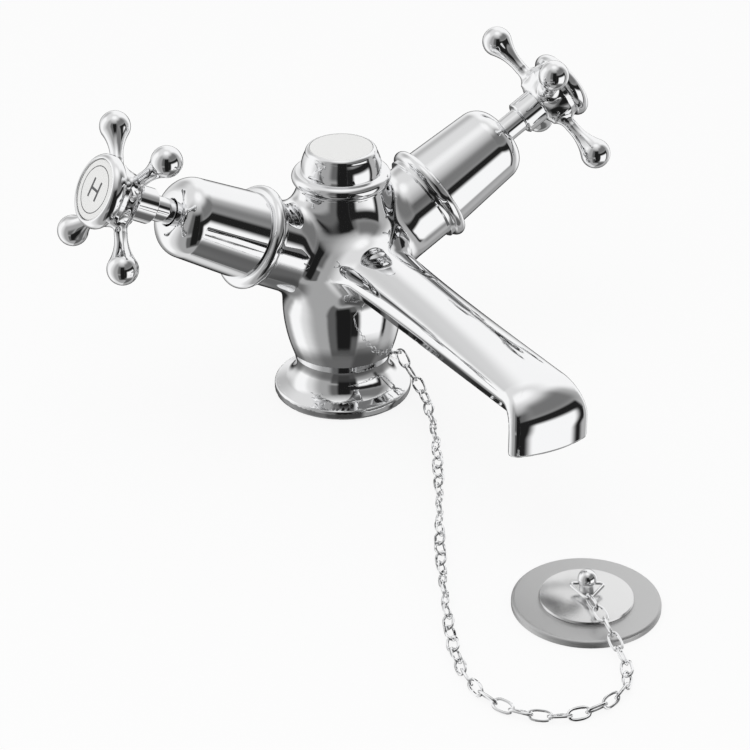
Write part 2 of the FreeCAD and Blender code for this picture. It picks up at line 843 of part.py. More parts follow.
def build_collar_and_bell(side):
    """Beaded collar on the arm's end face and the bell that covers the valve."""
    frame = arm_frame(side)
    bead_back = "(arm_length + collar_lip)"
    turned(
        f"{side}_collar_ring",
        [
            ("thread_radius + thread_gap", "arm_length"),
            ("collar_radius", "arm_length"),
            ("collar_radius", bead_back, "collar_bead * bead_share", 1),
            ("collar_radius", COLLAR_FRONT),
            ("thread_radius + thread_gap", COLLAR_FRONT),
        ],
        frame,
    )
    shoulder = ("bell_shoulder_radius", f"{BELL_END} - bell_shoulder")
    brow = ("bell_end_radius", BELL_END)
    inner = "(bell_shoulder_radius - bell_wall)"
    inner_end = f"({BELL_END} - bell_wall)"
    threaded = "(head_radius + thread_gap)"
    turned(
        f"{side}_bell_cover",
        [
            (threaded, f"{COLLAR_FRONT} + seat_gap"),
            ("bell_root_radius", f"{COLLAR_FRONT} + seat_gap"),
            (*shoulder, "bell_round", 1),
            brow,
            ("bell_hole_radius", BELL_END),
            ("bell_hole_radius", inner_end),
            ("bell_end_radius", inner_end, "bell_shoulder", -1),
            (inner, f"{BELL_END} - bell_shoulder"),
            (inner, f"{HEAD_FRONT} + seat_gap"),
            (threaded, f"{HEAD_FRONT} + seat_gap"),
        ],
        frame,
    )


def build_valve(side):
    """Ceramic disc valve: seat washer, two discs, threaded cartridge, O-ring and circlip."""
    frame = arm_frame(side)
    turned(
        f"{side}_seat_washer",
        ring_profile("washer_inner", "washer_outer", "seat_station", FIXED_DISC),
        frame,
    )
    ports = {
        "fixed_disc": (FIXED_DISC, "0", "disc_port_offset"),
        "moving_disc": (MOVING_DISC, "disc_port_offset", "0"),
    }
    for disc, (floor, across, along) in ports.items():
        body = new_body(f"{side}_{disc}", frame)
        sketch = new_sketch(body, f"{side}_{disc}_outline", plane="XY_Plane", shift=("0", "0", floor))
        draw_circle(sketch, "0", "0", "disc_radius")
        for sign in SIDES.values():
            draw_circle(
                sketch,
                across if across == "0" else f"{sign} * {across}",
                along if along == "0" else f"{sign} * {along}",
                "disc_port_radius",
            )
        pad(body, f"{side}_{disc}_plate", sketch, disc)
        if disc == "moving_disc":
            slot = new_sketch(body, f"{side}_slot", plane="XY_Plane", shift=("0", "0", f"{floor} + {disc}"))
            draw(slot, rectangle("disc_radius + running_gap", "tongue_width / 2 + running_gap"))
            pad(body, f"{side}_tongue_slot", slot, "tongue_depth + running_gap", cut=True)
    build_cartridge(side, frame)
    ring_core = "(spindle_radius - groove_depth + ring_groove / 2)"
    body = new_body(f"{side}_spindle_o_ring", frame)
    sketch = new_sketch(body, f"{side}_ring_section", shift=("0", f"{RING_GROOVE} + ring_groove / 2", "0"))
    draw_circle(sketch, ring_core, "0", "groove_depth / 2 - running_gap / 4")
    ring = body.newObject("PartDesign::Revolution", f"{side}_ring")
    ring.Profile = sketch
    ring.ReferenceAxis = (sketch, ["V_Axis"])
    body = new_body(f"{side}_circlip", frame)
    sketch = new_sketch(body, f"{side}_clip_outline", plane="XY_Plane", shift=("0", "0", CLIP))
    inner = "(spindle_radius - groove_depth + running_gap)"
    outer_reach = "sqrt(clip_radius^2 - clip_mouth^2 / 4)"
    inner_reach = f"sqrt({inner}^2 - clip_mouth^2 / 4)"
    outline = [
        ("clip_mouth / 2", outer_reach, "clip_radius", -1),
        ("clip_radius", "0", "clip_radius", -1),
        ("0", "-clip_radius", "clip_radius", -1),
        ("-clip_radius", "0", "clip_radius", -1),
        ("-clip_mouth / 2", outer_reach),
        ("-clip_mouth / 2", inner_reach, inner, 1),
        (f"-{inner}", "0", inner, 1),
        ("0", f"-{inner}", inner, 1),
        (inner, "0", inner, 1),
        ("clip_mouth / 2", inner_reach),
    ]
    draw(sketch, outline)
    pad(body, f"{side}_clip", sketch, "clip_thickness")


def build_cartridge(side, frame):
    """Threaded brass cartridge: barrel round the discs, thread, head and gland."""
    cavity = "(barrel_radius - barrel_wall)"
    bore = "(spindle_radius + running_gap)"
    thread_back = "(arm_length - thread_length)"
    neck_back = f"({HEAD_FRONT} + shoulder_length)"
    body = turned(
        f"{side}_cartridge_body",
        [
            (cavity, f"{FIXED_DISC} + seat_gap"),
            ("barrel_radius", f"{FIXED_DISC} + seat_gap"),
            ("barrel_radius", thread_back),
            ("thread_radius", thread_back),
            ("thread_radius", COLLAR_FRONT),
            ("head_radius", COLLAR_FRONT),
            ("head_radius", HEAD_FRONT),
            ("shoulder_radius", HEAD_FRONT),
            ("shoulder_radius", neck_back),
            ("gland_radius", neck_back),
            ("gland_radius", GLAND_END),
            (bore, GLAND_END),
            (bore, CAVITY_TOP),
            (cavity, CAVITY_TOP),
        ],
        frame,
    )
    window = [
        ("-barrel_radius - seat_gap", "0"),
        ("barrel_radius + seat_gap", "0"),
        ("barrel_radius + seat_gap", "barrel_window"),
        ("-barrel_radius - seat_gap", "barrel_window"),
    ]
    level = ("0", f"{DRIVE} + drive_length / 2", "0")
    revolve(body, f"{side}_windows", window, cut=True, axis="H_Axis", shift=level)


def build_spindle(side):
    """Spindle with a drive flange and tongue below and a square for the handle above."""
    floor = "(spindle_radius - groove_depth)"
    hole_floor = f"({WEB_FRONT} - screw_length - seat_gap)"
    body = turned(
        f"{side}_spindle",
        [
            ("0", DRIVE),
            ("drive_radius", DRIVE),
            ("drive_radius", f"{DRIVE} + drive_length"),
            ("spindle_radius", f"{DRIVE} + drive_length"),
            ("spindle_radius", RING_GROOVE),
            (floor, RING_GROOVE),
            (floor, f"{RING_GROOVE} + ring_groove"),
            ("spindle_radius", f"{RING_GROOVE} + ring_groove"),
            ("spindle_radius", GLAND_END),
            (floor, GLAND_END),
            (floor, f"{CLIP} + clip_thickness + seat_gap"),
            ("spindle_radius", f"{CLIP} + clip_thickness + seat_gap"),
            ("spindle_radius", f"{HUB_BACK} - seat_gap"),
            ("0", f"{HUB_BACK} - seat_gap"),
        ],
        arm_frame(side),
    )
    square_foot = ("0", "0", f"{HUB_BACK} - seat_gap")
    square = new_sketch(body, f"{side}_square_outline", plane="XY_Plane", shift=square_foot)
    draw(square, rectangle("square_side / 2", "square_side / 2"))
    pad(body, f"{side}_square", square, "square_length + seat_gap")
    tongue = new_sketch(body, f"{side}_tongue_outline", plane="XY_Plane", shift=("0", "0", DRIVE))
    draw(tongue, rectangle("tongue_length / 2", "tongue_width / 2"))
    pad(body, f"{side}_tongue", tongue, "tongue_depth", backwards=True)
    hole = [
        ("0", hole_floor),
        ("screw_radius + thread_gap", hole_floor),
        ("screw_radius + thread_gap", SQUARE_END),
        ("0", SQUARE_END),
    ]
    revolve(body, f"{side}_screw_hole", hole, cut=True)


def build_handle_cross(side, frame):
    """Cast hub with four ball-ended arms, a square socket and a screw seat."""
    body = turned(
        f"{side}_handle_cross",
        [
            ("0", HUB_BACK),
            ("hub_back_radius", HUB_BACK),
            ("hub_radius", f"{HUB_FRONT} - hub_rim"),
            ("hub_radius", HUB_FRONT),
            ("boss_radius", HUB_FRONT),
            ("boss_radius", f"{HUB_FRONT} + boss_length"),
            ("0", f"{HUB_FRONT} + boss_length"),
        ],
        frame,
    )
    swell = "(ball_radius * swell_share)"
    swell_at = "(ball_distance - ball_radius * sqrt(1 - swell_share^2))"
    arm = [
        ("0", "arm_start"),
        ("arm_root_radius", "arm_start"),
        ("arm_root_radius", "arm_root", "(waist - arm_root)", -1),
        ("waist_radius", "waist", "(ball_distance - waist) * waist_share", -1),
        (swell, swell_at, "ball_radius", 1),
        ("ball_radius", "ball_distance", "ball_radius", 1),
        ("0", "ball_distance + ball_radius"),
    ]
    shank = revolve(body, f"{side}_cross_arm", arm, shift=("0", CROSS, "0"), turn="-90")
    hub_sketch = doc.getObject(f"{side}_handle_cross_turning_profile")
    pattern = body.newObject("PartDesign::PolarPattern", f"{side}_cross_arms")
    pattern.Originals = [shank]
    pattern.Axis = (hub_sketch, ["V_Axis"])
    pattern.Angle = 360
    pattern.Occurrences = 4
    body.Tip = pattern
    socket = new_sketch(body, f"{side}_socket_outline", plane="XY_Plane", shift=("0", "0", HUB_BACK))
    draw(socket, rectangle("square_side / 2 + running_gap", "square_side / 2 + running_gap"))
    pad(body, f"{side}_square_socket", socket, "square_length + seat_gap", cut=True, backwards=True)
    seat = [
        ("0", HUB_BACK),
        ("screw_radius + thread_gap", HUB_BACK),
        ("screw_radius + thread_gap", WEB_FRONT),
        ("boss_recess", WEB_FRONT),
        ("boss_recess", f"{HUB_FRONT} + boss_length"),
        ("0", f"{HUB_FRONT} + boss_length"),
    ]
    revolve(body, f"{side}_screw_seat", seat, cut=True)


def build_handle(side):
    """Sleeve, cross, bezel, ceramic disc and the screw that holds them on the spindle."""
    frame = arm_frame(side)
    turned(
        f"{side}_handle_sleeve",
        ring_profile("spindle_radius + running_gap", "sleeve_radius", SLEEVE_BACK, f"{HUB_BACK} - seat_gap"),
        frame,
    )
    build_handle_cross(side, frame)
    belly = f"({BEZEL_BACK} + bezel_belly)"
    front = f"({BEZEL_BACK} + bezel_length)"
    back_point = ("bezel_back_radius", BEZEL_BACK)
    belly_point = ("bezel_radius", belly)
    lip_point = ("bezel_lip_radius", front)
    disc_bore = "(index_radius + thread_gap)"
    turned(
        f"{side}_handle_bezel",
        [
            ("boss_radius + thread_gap", BEZEL_BACK),
            (*back_point, rounding(back_point, belly_point), 1),
            (*belly_point, rounding(lip_point, belly_point), 1),
            lip_point,
            (disc_bore, front),
            (disc_bore, BEZEL_LEDGE),
            ("boss_radius + thread_gap", BEZEL_LEDGE),
        ],
        frame,
    )
    turned(
        f"{side}_index_disc",
        [
            ("0", INDEX_BACK),
            ("index_radius", INDEX_BACK),
            ("index_radius", f"{INDEX_BACK} + index_thickness - index_edge", "index_edge", 1),
            ("index_radius - index_edge", f"{INDEX_BACK} + index_thickness"),
            ("0", f"{INDEX_BACK} + index_thickness"),
        ],
        frame,
    )
    body = turned(
        f"{side}_handle_screw",
        [
            ("0", f"{WEB_FRONT} - screw_length"),
            ("screw_radius", f"{WEB_FRONT} - screw_length"),
            ("screw_radius", WEB_FRONT),
            ("screw_head_radius", WEB_FRONT),
            ("screw_head_radius", f"{WEB_FRONT} + screw_head"),
            ("0", f"{WEB_FRONT} + screw_head"),
        ],
        frame,
    )
    top = ("0", "0", f"{WEB_FRONT} + screw_head")
    slot = new_sketch(body, f"{side}_screw_slot_outline", plane="XY_Plane", shift=top)
    draw(slot, rectangle("screw_head_radius + seat_gap", "screw_slot / 2"))
    pad(body, f"{side}_screw_slot", slot, "screw_head / 2", cut=True)


def build_waste():
    """Slotted waste with its flange, washer and backnut."""
    frame = waste_frame()
    runout = "(waste_thread_radius - runout_depth)"
    body = turned(
        "waste_body",
        [
            ("waste_bore", "-waste_length"),
            ("waste_thread_radius", "-waste_length"),
            ("waste_thread_radius", "-(runout_drop + runout_width)"),
            (runout, "-(runout_drop + runout_width)"),
            (runout, "-runout_drop"),
            ("waste_thread_radius", "-runout_drop"),
            ("waste_thread_radius", "0"),
            ("waste_flange_radius", "0"),
            ("waste_flange_radius", "waste_flange / 2", "waste_flange / 2", 1),
            ("waste_flange_radius - waste_flange / 2", "waste_flange"),
            ("waste_mouth_radius", "waste_flange"),
            ("waste_mouth_radius", "waste_flange - waste_mouth_depth"),
            ("waste_bore", "waste_flange - waste_mouth_depth"),
        ],
        frame,
    )
    middle = ("0", "-(slot_top + slot_bottom) / 2", "0")
    slot = new_sketch(body, "overflow_slot_outline", plane="YZ_Plane", shift=middle)
    draw(slot, rectangle("slot_width / 2", "(slot_bottom - slot_top) / 2"))
    for name, backwards in (("overflow_slot_cold", True), ("overflow_slot_hot", False)):
        pad(body, name, slot, "waste_thread_radius + seat_gap", cut=True, backwards=backwards)
    under = "(-basin_thickness)"
    snug = "waste_thread_radius + thread_gap"
    turned(
        "waste_washer",
        ring_profile(snug, "waste_washer_radius", f"{under} - waste_washer", under),
        frame,
    )
    nut("waste_backnut", "backnut_flats", "backnut_height", snug, f"{under} - waste_washer", frame)


def build_plug():
    """Domed plug with its rubber seal, post and nut."""
    frame = waste_frame()
    hole = "(post_tail_radius + thread_gap)"
    seal_floor = f"({PLUG_BASE} - plug_seal)"
    dome = "((plug_radius^2 + plug_crown^2) / (2 * plug_crown))"
    turned(
        "plug",
        [
            (hole, PLUG_BASE),
            ("plug_radius", PLUG_BASE),
            ("plug_radius", f"{PLUG_BASE} + plug_edge", dome, 1),
            (hole, PLUG_TOP),
        ],
        frame,
    )
    turned(
        "plug_seal",
        [
            (hole, seal_floor),
            ("plug_seal_bottom", seal_floor),
            ("plug_seal_top", PLUG_BASE),
            (hole, PLUG_BASE),
        ],
        frame,
    )
    ball = f"({PLUG_TOP} + post_head_rise)"
    neck_top = f"({ball} - sqrt(post_head_radius^2 - post_radius^2))"
    body = turned(
        "plug_post",
        [
            ("0", f"{seal_floor} - plug_nut - seat_gap"),
            ("post_tail_radius", f"{seal_floor} - plug_nut - seat_gap"),
            ("post_tail_radius", f"{PLUG_TOP} + seat_gap"),
            ("post_radius", f"{PLUG_TOP} + seat_gap"),
            ("post_radius", neck_top, "post_head_radius", 1),
            ("post_head_radius", ball, "post_head_radius", 1),
            ("0", f"{ball} + post_head_radius"),
        ],
        frame.multiply(Placement(Vector(), Rotation(Vector(0, 0, 1), number("shackle_heading")))),
    )
    eye = [
        ("-post_head_radius", "0"),
        ("post_head_radius", "0"),
        ("post_head_radius", "shackle_wire / 2 + running_gap"),
        ("-post_head_radius", "shackle_wire / 2 + running_gap"),
    ]
    revolve(body, "shackle_eye", eye, cut=True, axis="H_Axis", shift=("0", SHACKLE_HEIGHT, "0"))
    nut("plug_nut", "plug_nut_flats", "plug_nut", hole, seal_floor, frame)


def add_feature(label, shape, placement=Placement()):
    """A piece whose shape is worked out here from the sizes."""
    feature = doc.addObject("Part::Feature", label)
    feature.Label = label
    feature.Shape = shape
    feature.Placement = placement
    pieces.append(feature)


def rounded_path(points, radii, closed=False):
    """Straight runs joined by a tangent arc of the given radius at each corner."""
    count = len(points)
    corners = range(count) if closed else range(1, count - 1)
    bends = []
    for index, radius in zip(corners, radii):
        corner = points[index]
        back = (points[index - 1] - corner).normalize()
        ahead = (points[(index + 1) % count] - corner).normalize()
        half_turn = (math.pi - back.getAngle(ahead)) / 2
        reach = radius * math.tan(half_turn)
        middle = corner + (back + ahead).normalize() * (radius / math.cos(half_turn) - radius)
        bends.append((corner + back * reach, middle, corner + ahead * reach))
    starts = [bends[-1][2]] if closed else [points[0]]
    starts += [bend[2] for bend in bends]
    stops = [bend[0] for bend in bends] + ([] if closed else [points[-1]])
    edges = []
    for index, (start, stop) in enumerate(zip(starts, stops)):
        if start.distanceToPoint(stop) > TOUCH:
            edges.append(Part.LineSegment(start, stop).toShape())
        if index < len(bends):
            edges.append(Part.Arc(*bends[index]).toShape())
    return Part.Wire(edges)


def bent_wire(path, diameter):
    """A round wire along a path."""
    first = path.Edges[0]
    start = first.valueAt(first.FirstParameter)
    heading = first.tangentAt(first.FirstParameter)
    section = Part.Wire(Part.makeCircle(diameter / 2, start, heading))
    return path.makePipeShell([section], True, True)


def shackle_frame():
    """Frame of the shackle: X along its bar, Y towards its tip."""
    heading = Rotation(Vector(0, 0, 1), number("shackle_heading"))
    hang = Rotation(Vector(1, 0, 0), 180 + number("shackle_hang"))
    seat = Vector(0, -number("waste_distance"), number(SHACKLE_HEIGHT))
    return Placement(seat, heading * hang)


def shackle_tip():
    """The wire's centre at the shackle's rounded tip."""
    height = number("shackle_height")
    slant = math.atan(number("shackle_width") / 2 / height)
    radius = number("shackle_tip")
    return shackle_frame().multVec(Vector(0, height + radius - radius / math.sin(slant), 0))


def build_shackle():
    """Three-cornered wire shackle whose bar turns in the plug's post."""
    half = number("shackle_width / 2")
    corners = [Vector(-half, 0, 0), Vector(half, 0, 0), Vector(0, number("shackle_height"), 0)]
    radii = [number("shackle_corner"), number("shackle_corner"), number("shackle_tip")]
    loop = bent_wire(rounded_path(corners, radii, closed=True), number("shackle_wire"))
    add_feature("plug_shackle", loop, shackle_frame())


def link_axes(along, roll):
    """Width and thickness directions of a link that runs along a direction."""
    side = Vector(0, 0, 1).cross(along).normalize()
    lift = along.cross(side)
    width = side * math.cos(math.radians(roll)) + lift * math.sin(math.radians(roll))
    return width, along.cross(width)


def stay_frame():
    """Frame of the chain stay: Z out of the column, X square to its eye."""
    heading = math.radians(number("stay_heading"))
    out = Vector(math.cos(heading), math.sin(heading), 0)
    centre = out * number("neck_radius + stay_stand + stay_eye")
    centre.z = number("stay_height")
    _, tangent = link_axes((CHAIN_ROUTE[0] - centre).normalize(), LINK_ROLL)
    square = out.cross(tangent).normalize()
    return Placement(centre, Rotation(square, out.cross(square), out, "ZXY"))


def build_stay():
    """Screwed eye on the column that holds the chain's first link."""
    eye = doc.addObject("Part::Torus", "stay_ring")
    eye.setExpression("Radius1", bound("stay_eye"))
    eye.setExpression("Radius2", bound("stay_wire / 2"))
    eye.Placement = Placement(Vector(), Rotation(Vector(0, 1, 0), 90))
    shank = doc.addObject("Part::Cylinder", "stay_screw")
    shank.setExpression("Radius", bound("stay_shank"))
    shank.setExpression("Height", bound("stay_depth + stay_stand - seat_gap"))
    shank.setExpression("Placement.Base.z", bound("seat_gap - stay_eye - stay_stand - stay_depth"))
    stay = doc.addObject("Part::Fuse", "chain_stay")
    stay.Label = "chain_stay"
    stay.Base = eye
    stay.Tool = shank
    stay.Placement = stay_frame()
    pieces.append(stay)


def chain_start():
    """Where the first link bears on the stay's eye."""
    frame = stay_frame()
    along = (CHAIN_ROUTE[0] - frame.Base).normalize()
    _, tangent = link_axes(along, LINK_ROLL)
    bearing = tangent.cross(frame.Rotation.multVec(Vector(1, 0, 0))).normalize()
    if bearing.dot(along) < 0:
        bearing = -bearing
    return frame.Base + bearing * number("stay_eye") - along * number("(stay_wire + link_slack) / 2")


def chain_finish():
    """Where the last link bears on the shackle's tip."""
    tip = shackle_tip()
    along = (tip - CHAIN_ROUTE[-1]).normalize()
    return tip + along * number("(shackle_wire + link_slack) / 2")


def chain_path():
    """The chain's line from the stay, over the deck and up to the plug."""
    points = [chain_start(), *CHAIN_ROUTE, chain_finish()]
    radii = []
    for before, corner, after in zip(points, points[1:], points[2:]):
        shorter = min(corner.distanceToPoint(before), corner.distanceToPoint(after))
        half_turn = (corner - before).getAngle(after - corner) / 2
        radii.append(BEND_SHARE * shorter / math.tan(half_turn))
    print("chain bend radii", [round(radius, 1) for radius in radii])
    return rounded_path(points, radii)


def chain_link():
    """One oblong link, its length along X and its width along Y."""
    half_length = number("(link_length - link_wire) / 2")
    half_width = number("(link_width - link_wire) / 2")
    corners = [
        Vector(-half_length, -half_width, 0),
        Vector(half_length, -half_width, 0),
        Vector(half_length, half_width, 0),
        Vector(-half_length, half_width, 0),
    ]
    return bent_wire(rounded_path(corners, [half_width] * 4, closed=True), number("link_wire"))


def build_chain():
    """Links along the route, each a quarter turn from the last, upright at the shackle."""
    path = chain_path()
    pitch = number("link_length - 2 * link_wire - link_slack")
    count = round(path.Length / pitch)
    places = path.discretize(Number=count + 1)
    link = chain_link()
    twist = LINK_ROLL if count % 2 else -LINK_ROLL
    links = []
    for index, (start, stop) in enumerate(zip(places, places[1:])):
        share = max(0, index + 1 - count + TWIST_LINKS) / TWIST_LINKS
        along = (stop - start).normalize()
        width, normal = link_axes(along, LINK_ROLL + 90 * index + twist * share)
        placed = link.copy()
        placed.Placement = Placement((start + stop) * 0.5, Rotation(along, width, normal, "XYZ"))
        links.append(placed)
    print("chain", count, "links", round(path.Length), "mm")
    tail, end = count - TAIL_LINKS - END_LINKS, count - END_LINKS
    stretches = {"chain_main": links[:tail], "chain_tail": links[tail:end], "chain_end": links[end:]}
    for label, stretch in stretches.items():
        add_feature(label, Part.makeCompound(stretch))


build_mixer_body()
build_deck_fixing()
build_top_cap()
build_outlet()
for mixer_side in SIDES:
    build_collar_and_bell(mixer_side)
    build_valve(mixer_side)
    build_spindle(mixer_side)
    build_handle(mixer_side)
build_waste()
build_plug()
build_shackle()
build_stay()
build_chain()

doc.recompute()
for item in doc.Objects:
    if "Invalid" in item.State or "Error" in item.State:
        raise RuntimeError(f"{item.Name} failed: {item.State}")
os.makedirs("parts", exist_ok=True)
for piece in pieces:
    shape = piece.Shape
    if shape.isNull() or not shape.isValid():
        raise RuntimeError(f"{piece.Label} has no valid shape")
    print(piece.Label, len(shape.Solids), round(shape.Volume))
    shape.exportStep(f"parts/{piece.Label}.step")
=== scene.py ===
"""Chrome basin mixer with cross handles, plug and chain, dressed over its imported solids."""
import json
import logging
import math
from dataclasses import dataclass, field
from enum import Enum
from typing import Callable, Sequence

import bpy
import numpy as np
from mathutils import Matrix, Vector


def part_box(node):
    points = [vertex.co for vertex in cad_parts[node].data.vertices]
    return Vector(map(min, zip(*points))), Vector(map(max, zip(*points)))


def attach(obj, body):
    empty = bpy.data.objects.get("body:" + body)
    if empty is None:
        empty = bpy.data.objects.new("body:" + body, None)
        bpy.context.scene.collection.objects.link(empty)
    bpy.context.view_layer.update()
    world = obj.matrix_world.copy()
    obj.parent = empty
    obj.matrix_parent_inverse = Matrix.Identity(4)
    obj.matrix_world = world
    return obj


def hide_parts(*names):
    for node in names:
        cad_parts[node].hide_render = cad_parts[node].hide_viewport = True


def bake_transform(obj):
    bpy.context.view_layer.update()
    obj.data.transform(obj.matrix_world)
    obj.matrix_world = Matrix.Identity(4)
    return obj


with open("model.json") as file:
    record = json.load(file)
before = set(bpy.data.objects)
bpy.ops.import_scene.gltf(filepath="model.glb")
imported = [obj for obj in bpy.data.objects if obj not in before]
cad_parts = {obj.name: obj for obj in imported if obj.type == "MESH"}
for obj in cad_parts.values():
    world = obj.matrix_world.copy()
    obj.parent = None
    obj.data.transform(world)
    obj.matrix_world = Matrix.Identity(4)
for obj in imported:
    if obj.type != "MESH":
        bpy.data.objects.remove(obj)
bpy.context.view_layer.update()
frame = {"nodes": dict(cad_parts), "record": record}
LOG = logging.getLogger("basin_mixer")
MM = 0.001
IMAGE_SIDE = 750
SENSOR = 36.0
TINY = 1e-6
SHARP_EDGE = math.radians(38.0)
WHITE = (1.0, 1.0, 1.0, 1.0)
WASTE_CENTRE = (0.0, -0.168)
ARM_TILT = 28.9
ARM_MEET = 52.1
UPRIGHT = Matrix.Identity(4)

Points = np.ndarray
Faces = list[list[int]]
Pair = tuple[float, float]
Triple = tuple[float, float, float]
Corner = tuple[float, ...]
Field = Callable[[Points], Points]
Socket = bpy.types.NodeSocket
Feed = Socket | float | Corner


class Slot(Enum):
    """The record's material slots."""

    CHROME = "chrome"
    SATIN = "satin_chrome"
    CERAMIC = "ceramic"
    VALVE_CERAMIC = "valve_ceramic"
    BRASS = "brass"
    STEEL = "steel"
    RUBBER = "rubber"
    PLASTIC = "plastic"


class Side(Enum):
    """The two valves, with the sign of their X."""

    HOT = -1
    COLD = 1

    @property
    def label(self) -> str:
        """The side's name as its nodes carry it."""
        return self.name.lower()


@dataclass
class Wiring:
    """A node tree, with short ways to add nodes and feed their sockets."""

    tree: bpy.types.NodeTree

    def feed(self, node: bpy.types.Node, inputs: dict[str | int, Feed]) -> None:
        """Links a node's sockets to outputs, and sets them where the value is a constant.

        Args:
            node: The node.
            inputs: What each socket gets, by the socket's name or number.
        """
        for socket, value in inputs.items():
            if isinstance(value, Socket):
                self.tree.links.new(value, node.inputs[socket])
            else:
                node.inputs[socket].default_value = value

    def add(
        self, kind: str, inputs: dict[str | int, Feed] | None = None, **settings: str
    ) -> bpy.types.Node:
        """Adds a node.

        Args:
            kind: Its type, without the leading ShaderNode.
            inputs: What its sockets get.
            settings: Its own settings.

        Returns:
            The node.
        """
        node = self.tree.nodes.new(f"ShaderNode{kind}")
        for name, value in settings.items():
            setattr(node, name, value)
        self.feed(node, inputs or {})
        return node

    def calc(self, operation: str, *values: Feed) -> Socket:
        """The result of one step of arithmetic."""
        return self.add("Math", dict(enumerate(values)), operation=operation).outputs[0]

    def fade(self, value: Socket, limits: Pair, level: float = 1.0) -> Socket:
        """A level that falls smoothly to nil while a value passes from one limit to the other.

        Args:
            value: The value.
            limits: Where the fall starts and ends.
            level: The level before it.

        Returns:
            The level.
        """
        ends = {"From Min": limits[0], "From Max": limits[1], "To Min": level, "To Max": 0.0}
        ramp = self.add("MapRange", {"Value": value, **ends}, interpolation_type="SMOOTHSTEP")
        return ramp.outputs["Result"]

    def reach(self, centre: Pair) -> Socket:
        """The surface's distance from an upright axis, from Object coordinates.

        Args:
            centre: Where the axis stands.

        Returns:
            The distance.
        """
        spot = self.add("TexCoord").outputs["Object"]
        shift = {"Location": (-centre[0], -centre[1], 0.0), "Scale": (1.0, 1.0, 0.0)}
        flat = self.add("Mapping", {"Vector": spot, **shift}).outputs["Vector"]
        return self.add("VectorMath", {0: flat}, operation="LENGTH").outputs["Value"]

    def mixed(self, share: Socket, first: Socket, second: Socket) -> Socket:
        """Two shaders, with the second one's share."""
        return self.add("MixShader", {"Fac": share, 1: first, 2: second}).outputs[0]


@dataclass(frozen=True)
class Finish:
    """A surface finish: colour, gloss, and how far both stray over the surface."""

    name: str
    colour: Triple
    metallic: float = 0.0
    roughness: float = 0.4
    spread: float = 0.04
    tint: float = 0.03
    grain: float = 45.0
    detail: float = 5.0
    bump: float = 0.0
    bump_grain: float = 900.0
    bump_detail: float = 3.0
    bump_depth: float = 0.1 * MM
    coat: float = 0.0
    centre: Pair | None = None

    def material(self) -> bpy.types.Material:
        """Makes the finish once and hands it out again after that.

        Returns:
            The material, its variation read from Object coordinates.
        """
        if self.name in bpy.data.materials:
            return bpy.data.materials[self.name]
        made = bpy.data.materials.new(self.name)
        made.use_nodes = True
        wiring = Wiring(made.node_tree)
        spot = wiring.add("TexCoord").outputs["Object"]
        sizes = {"Scale": self.grain, "Detail": self.detail}
        cloud = wiring.add("TexNoise", {"Vector": spot, **sizes}).outputs["Fac"]
        ends = {"To Min": max(self.roughness - self.spread, 0.0), "To Max": self.roughness + self.spread}
        shades = wiring.add("ValToRGB", {"Fac": cloud})
        for stop, level in zip(shades.color_ramp.elements, (1.0 - self.tint, 1.0)):
            stop.color = (*(level * part for part in self.colour), 1.0)
        shader = made.node_tree.nodes["Principled BSDF"]
        wiring.feed(shader, {
            "Metallic": self.metallic,
            "Coat Weight": self.coat,
            "Roughness": wiring.add("MapRange", {"Value": cloud, **ends}).outputs["Result"],
            "Base Color": shades.outputs["Color"],
        })
        if self.bump > 0.0:
            wiring.feed(shader, {"Normal": self.relief(wiring, spot)})
        return made

    def relief(self, wiring: Wiring, spot: Socket) -> Socket:
        """Fine relief: even grain, or rings about the finish's centre.

        Args:
            wiring: The material's nodes.
            spot: The surface's coordinates.

        Returns:
            The normal with the relief in it.
        """
        sizes = {"Scale": self.bump_grain, "Detail": self.bump_detail}
        if self.centre is None:
            grain = wiring.add("TexNoise", {"Vector": spot, **sizes})
        else:
            grain = wiring.add("TexNoise", {"W": wiring.reach(self.centre), **sizes}, noise_dimensions="1D")
        height = {"Strength": self.bump, "Distance": self.bump_depth, "Height": grain.outputs["Fac"]}
        return wiring.add("Bump", height).outputs["Normal"]


FINISHES: dict[Slot, Finish] = {
    Slot.CHROME: Finish("bright_chrome", (0.93, 0.933, 0.94), 1.0, 0.035, 0.015, 0.02),
    Slot.SATIN: Finish(
        "satin_chrome", (0.60, 0.60, 0.60), 1.0, 0.34, 0.04, 0.04, bump=0.25, bump_grain=4200.0,
        centre=WASTE_CENTRE,
    ),
    Slot.CERAMIC: Finish("glazed_ceramic", (0.86, 0.86, 0.85), 0.0, 0.16, 0.03, 0.02, coat=0.4),
    Slot.VALVE_CERAMIC: Finish("lapped_ceramic", (0.93, 0.92, 0.88), 0.0, 0.22, 0.03, 0.03),
    Slot.BRASS: Finish("turned_brass", (0.72, 0.58, 0.30), 1.0, 0.26, 0.06, 0.08, bump=0.1),
    Slot.STEEL: Finish("zinc_plate", (0.60, 0.61, 0.62), 1.0, 0.36, 0.08, 0.10, bump=0.15),
    Slot.RUBBER: Finish("black_rubber", (0.05, 0.05, 0.05), 0.0, 0.62, 0.08, 0.20, bump=0.3),
    Slot.PLASTIC: Finish("pale_plastic", (0.75, 0.75, 0.74), 0.0, 0.45, 0.05, 0.04, bump=0.1),
}
SPUN_CHROME = Finish(
    "spun_chrome", (0.80, 0.80, 0.80), 1.0, 0.22, 0.03, 0.04, bump=0.15, bump_grain=3000.0,
    centre=WASTE_CENTRE,
)
MARK_INK = Finish("fired_ink", (0.07, 0.07, 0.075), 0.0, 0.3, 0.04, 0.10)


def dress_nodes() -> None:
    """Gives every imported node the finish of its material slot."""
    for part in frame["record"]["subparts"]:
        node = frame["nodes"][part["node"]]
        finish = FINISHES[Slot(part["material_slot"])].material()
        node.data.materials.clear()
        node.data.materials.append(finish)
        node.visible_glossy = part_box(part["node"])[0][2] > -MM


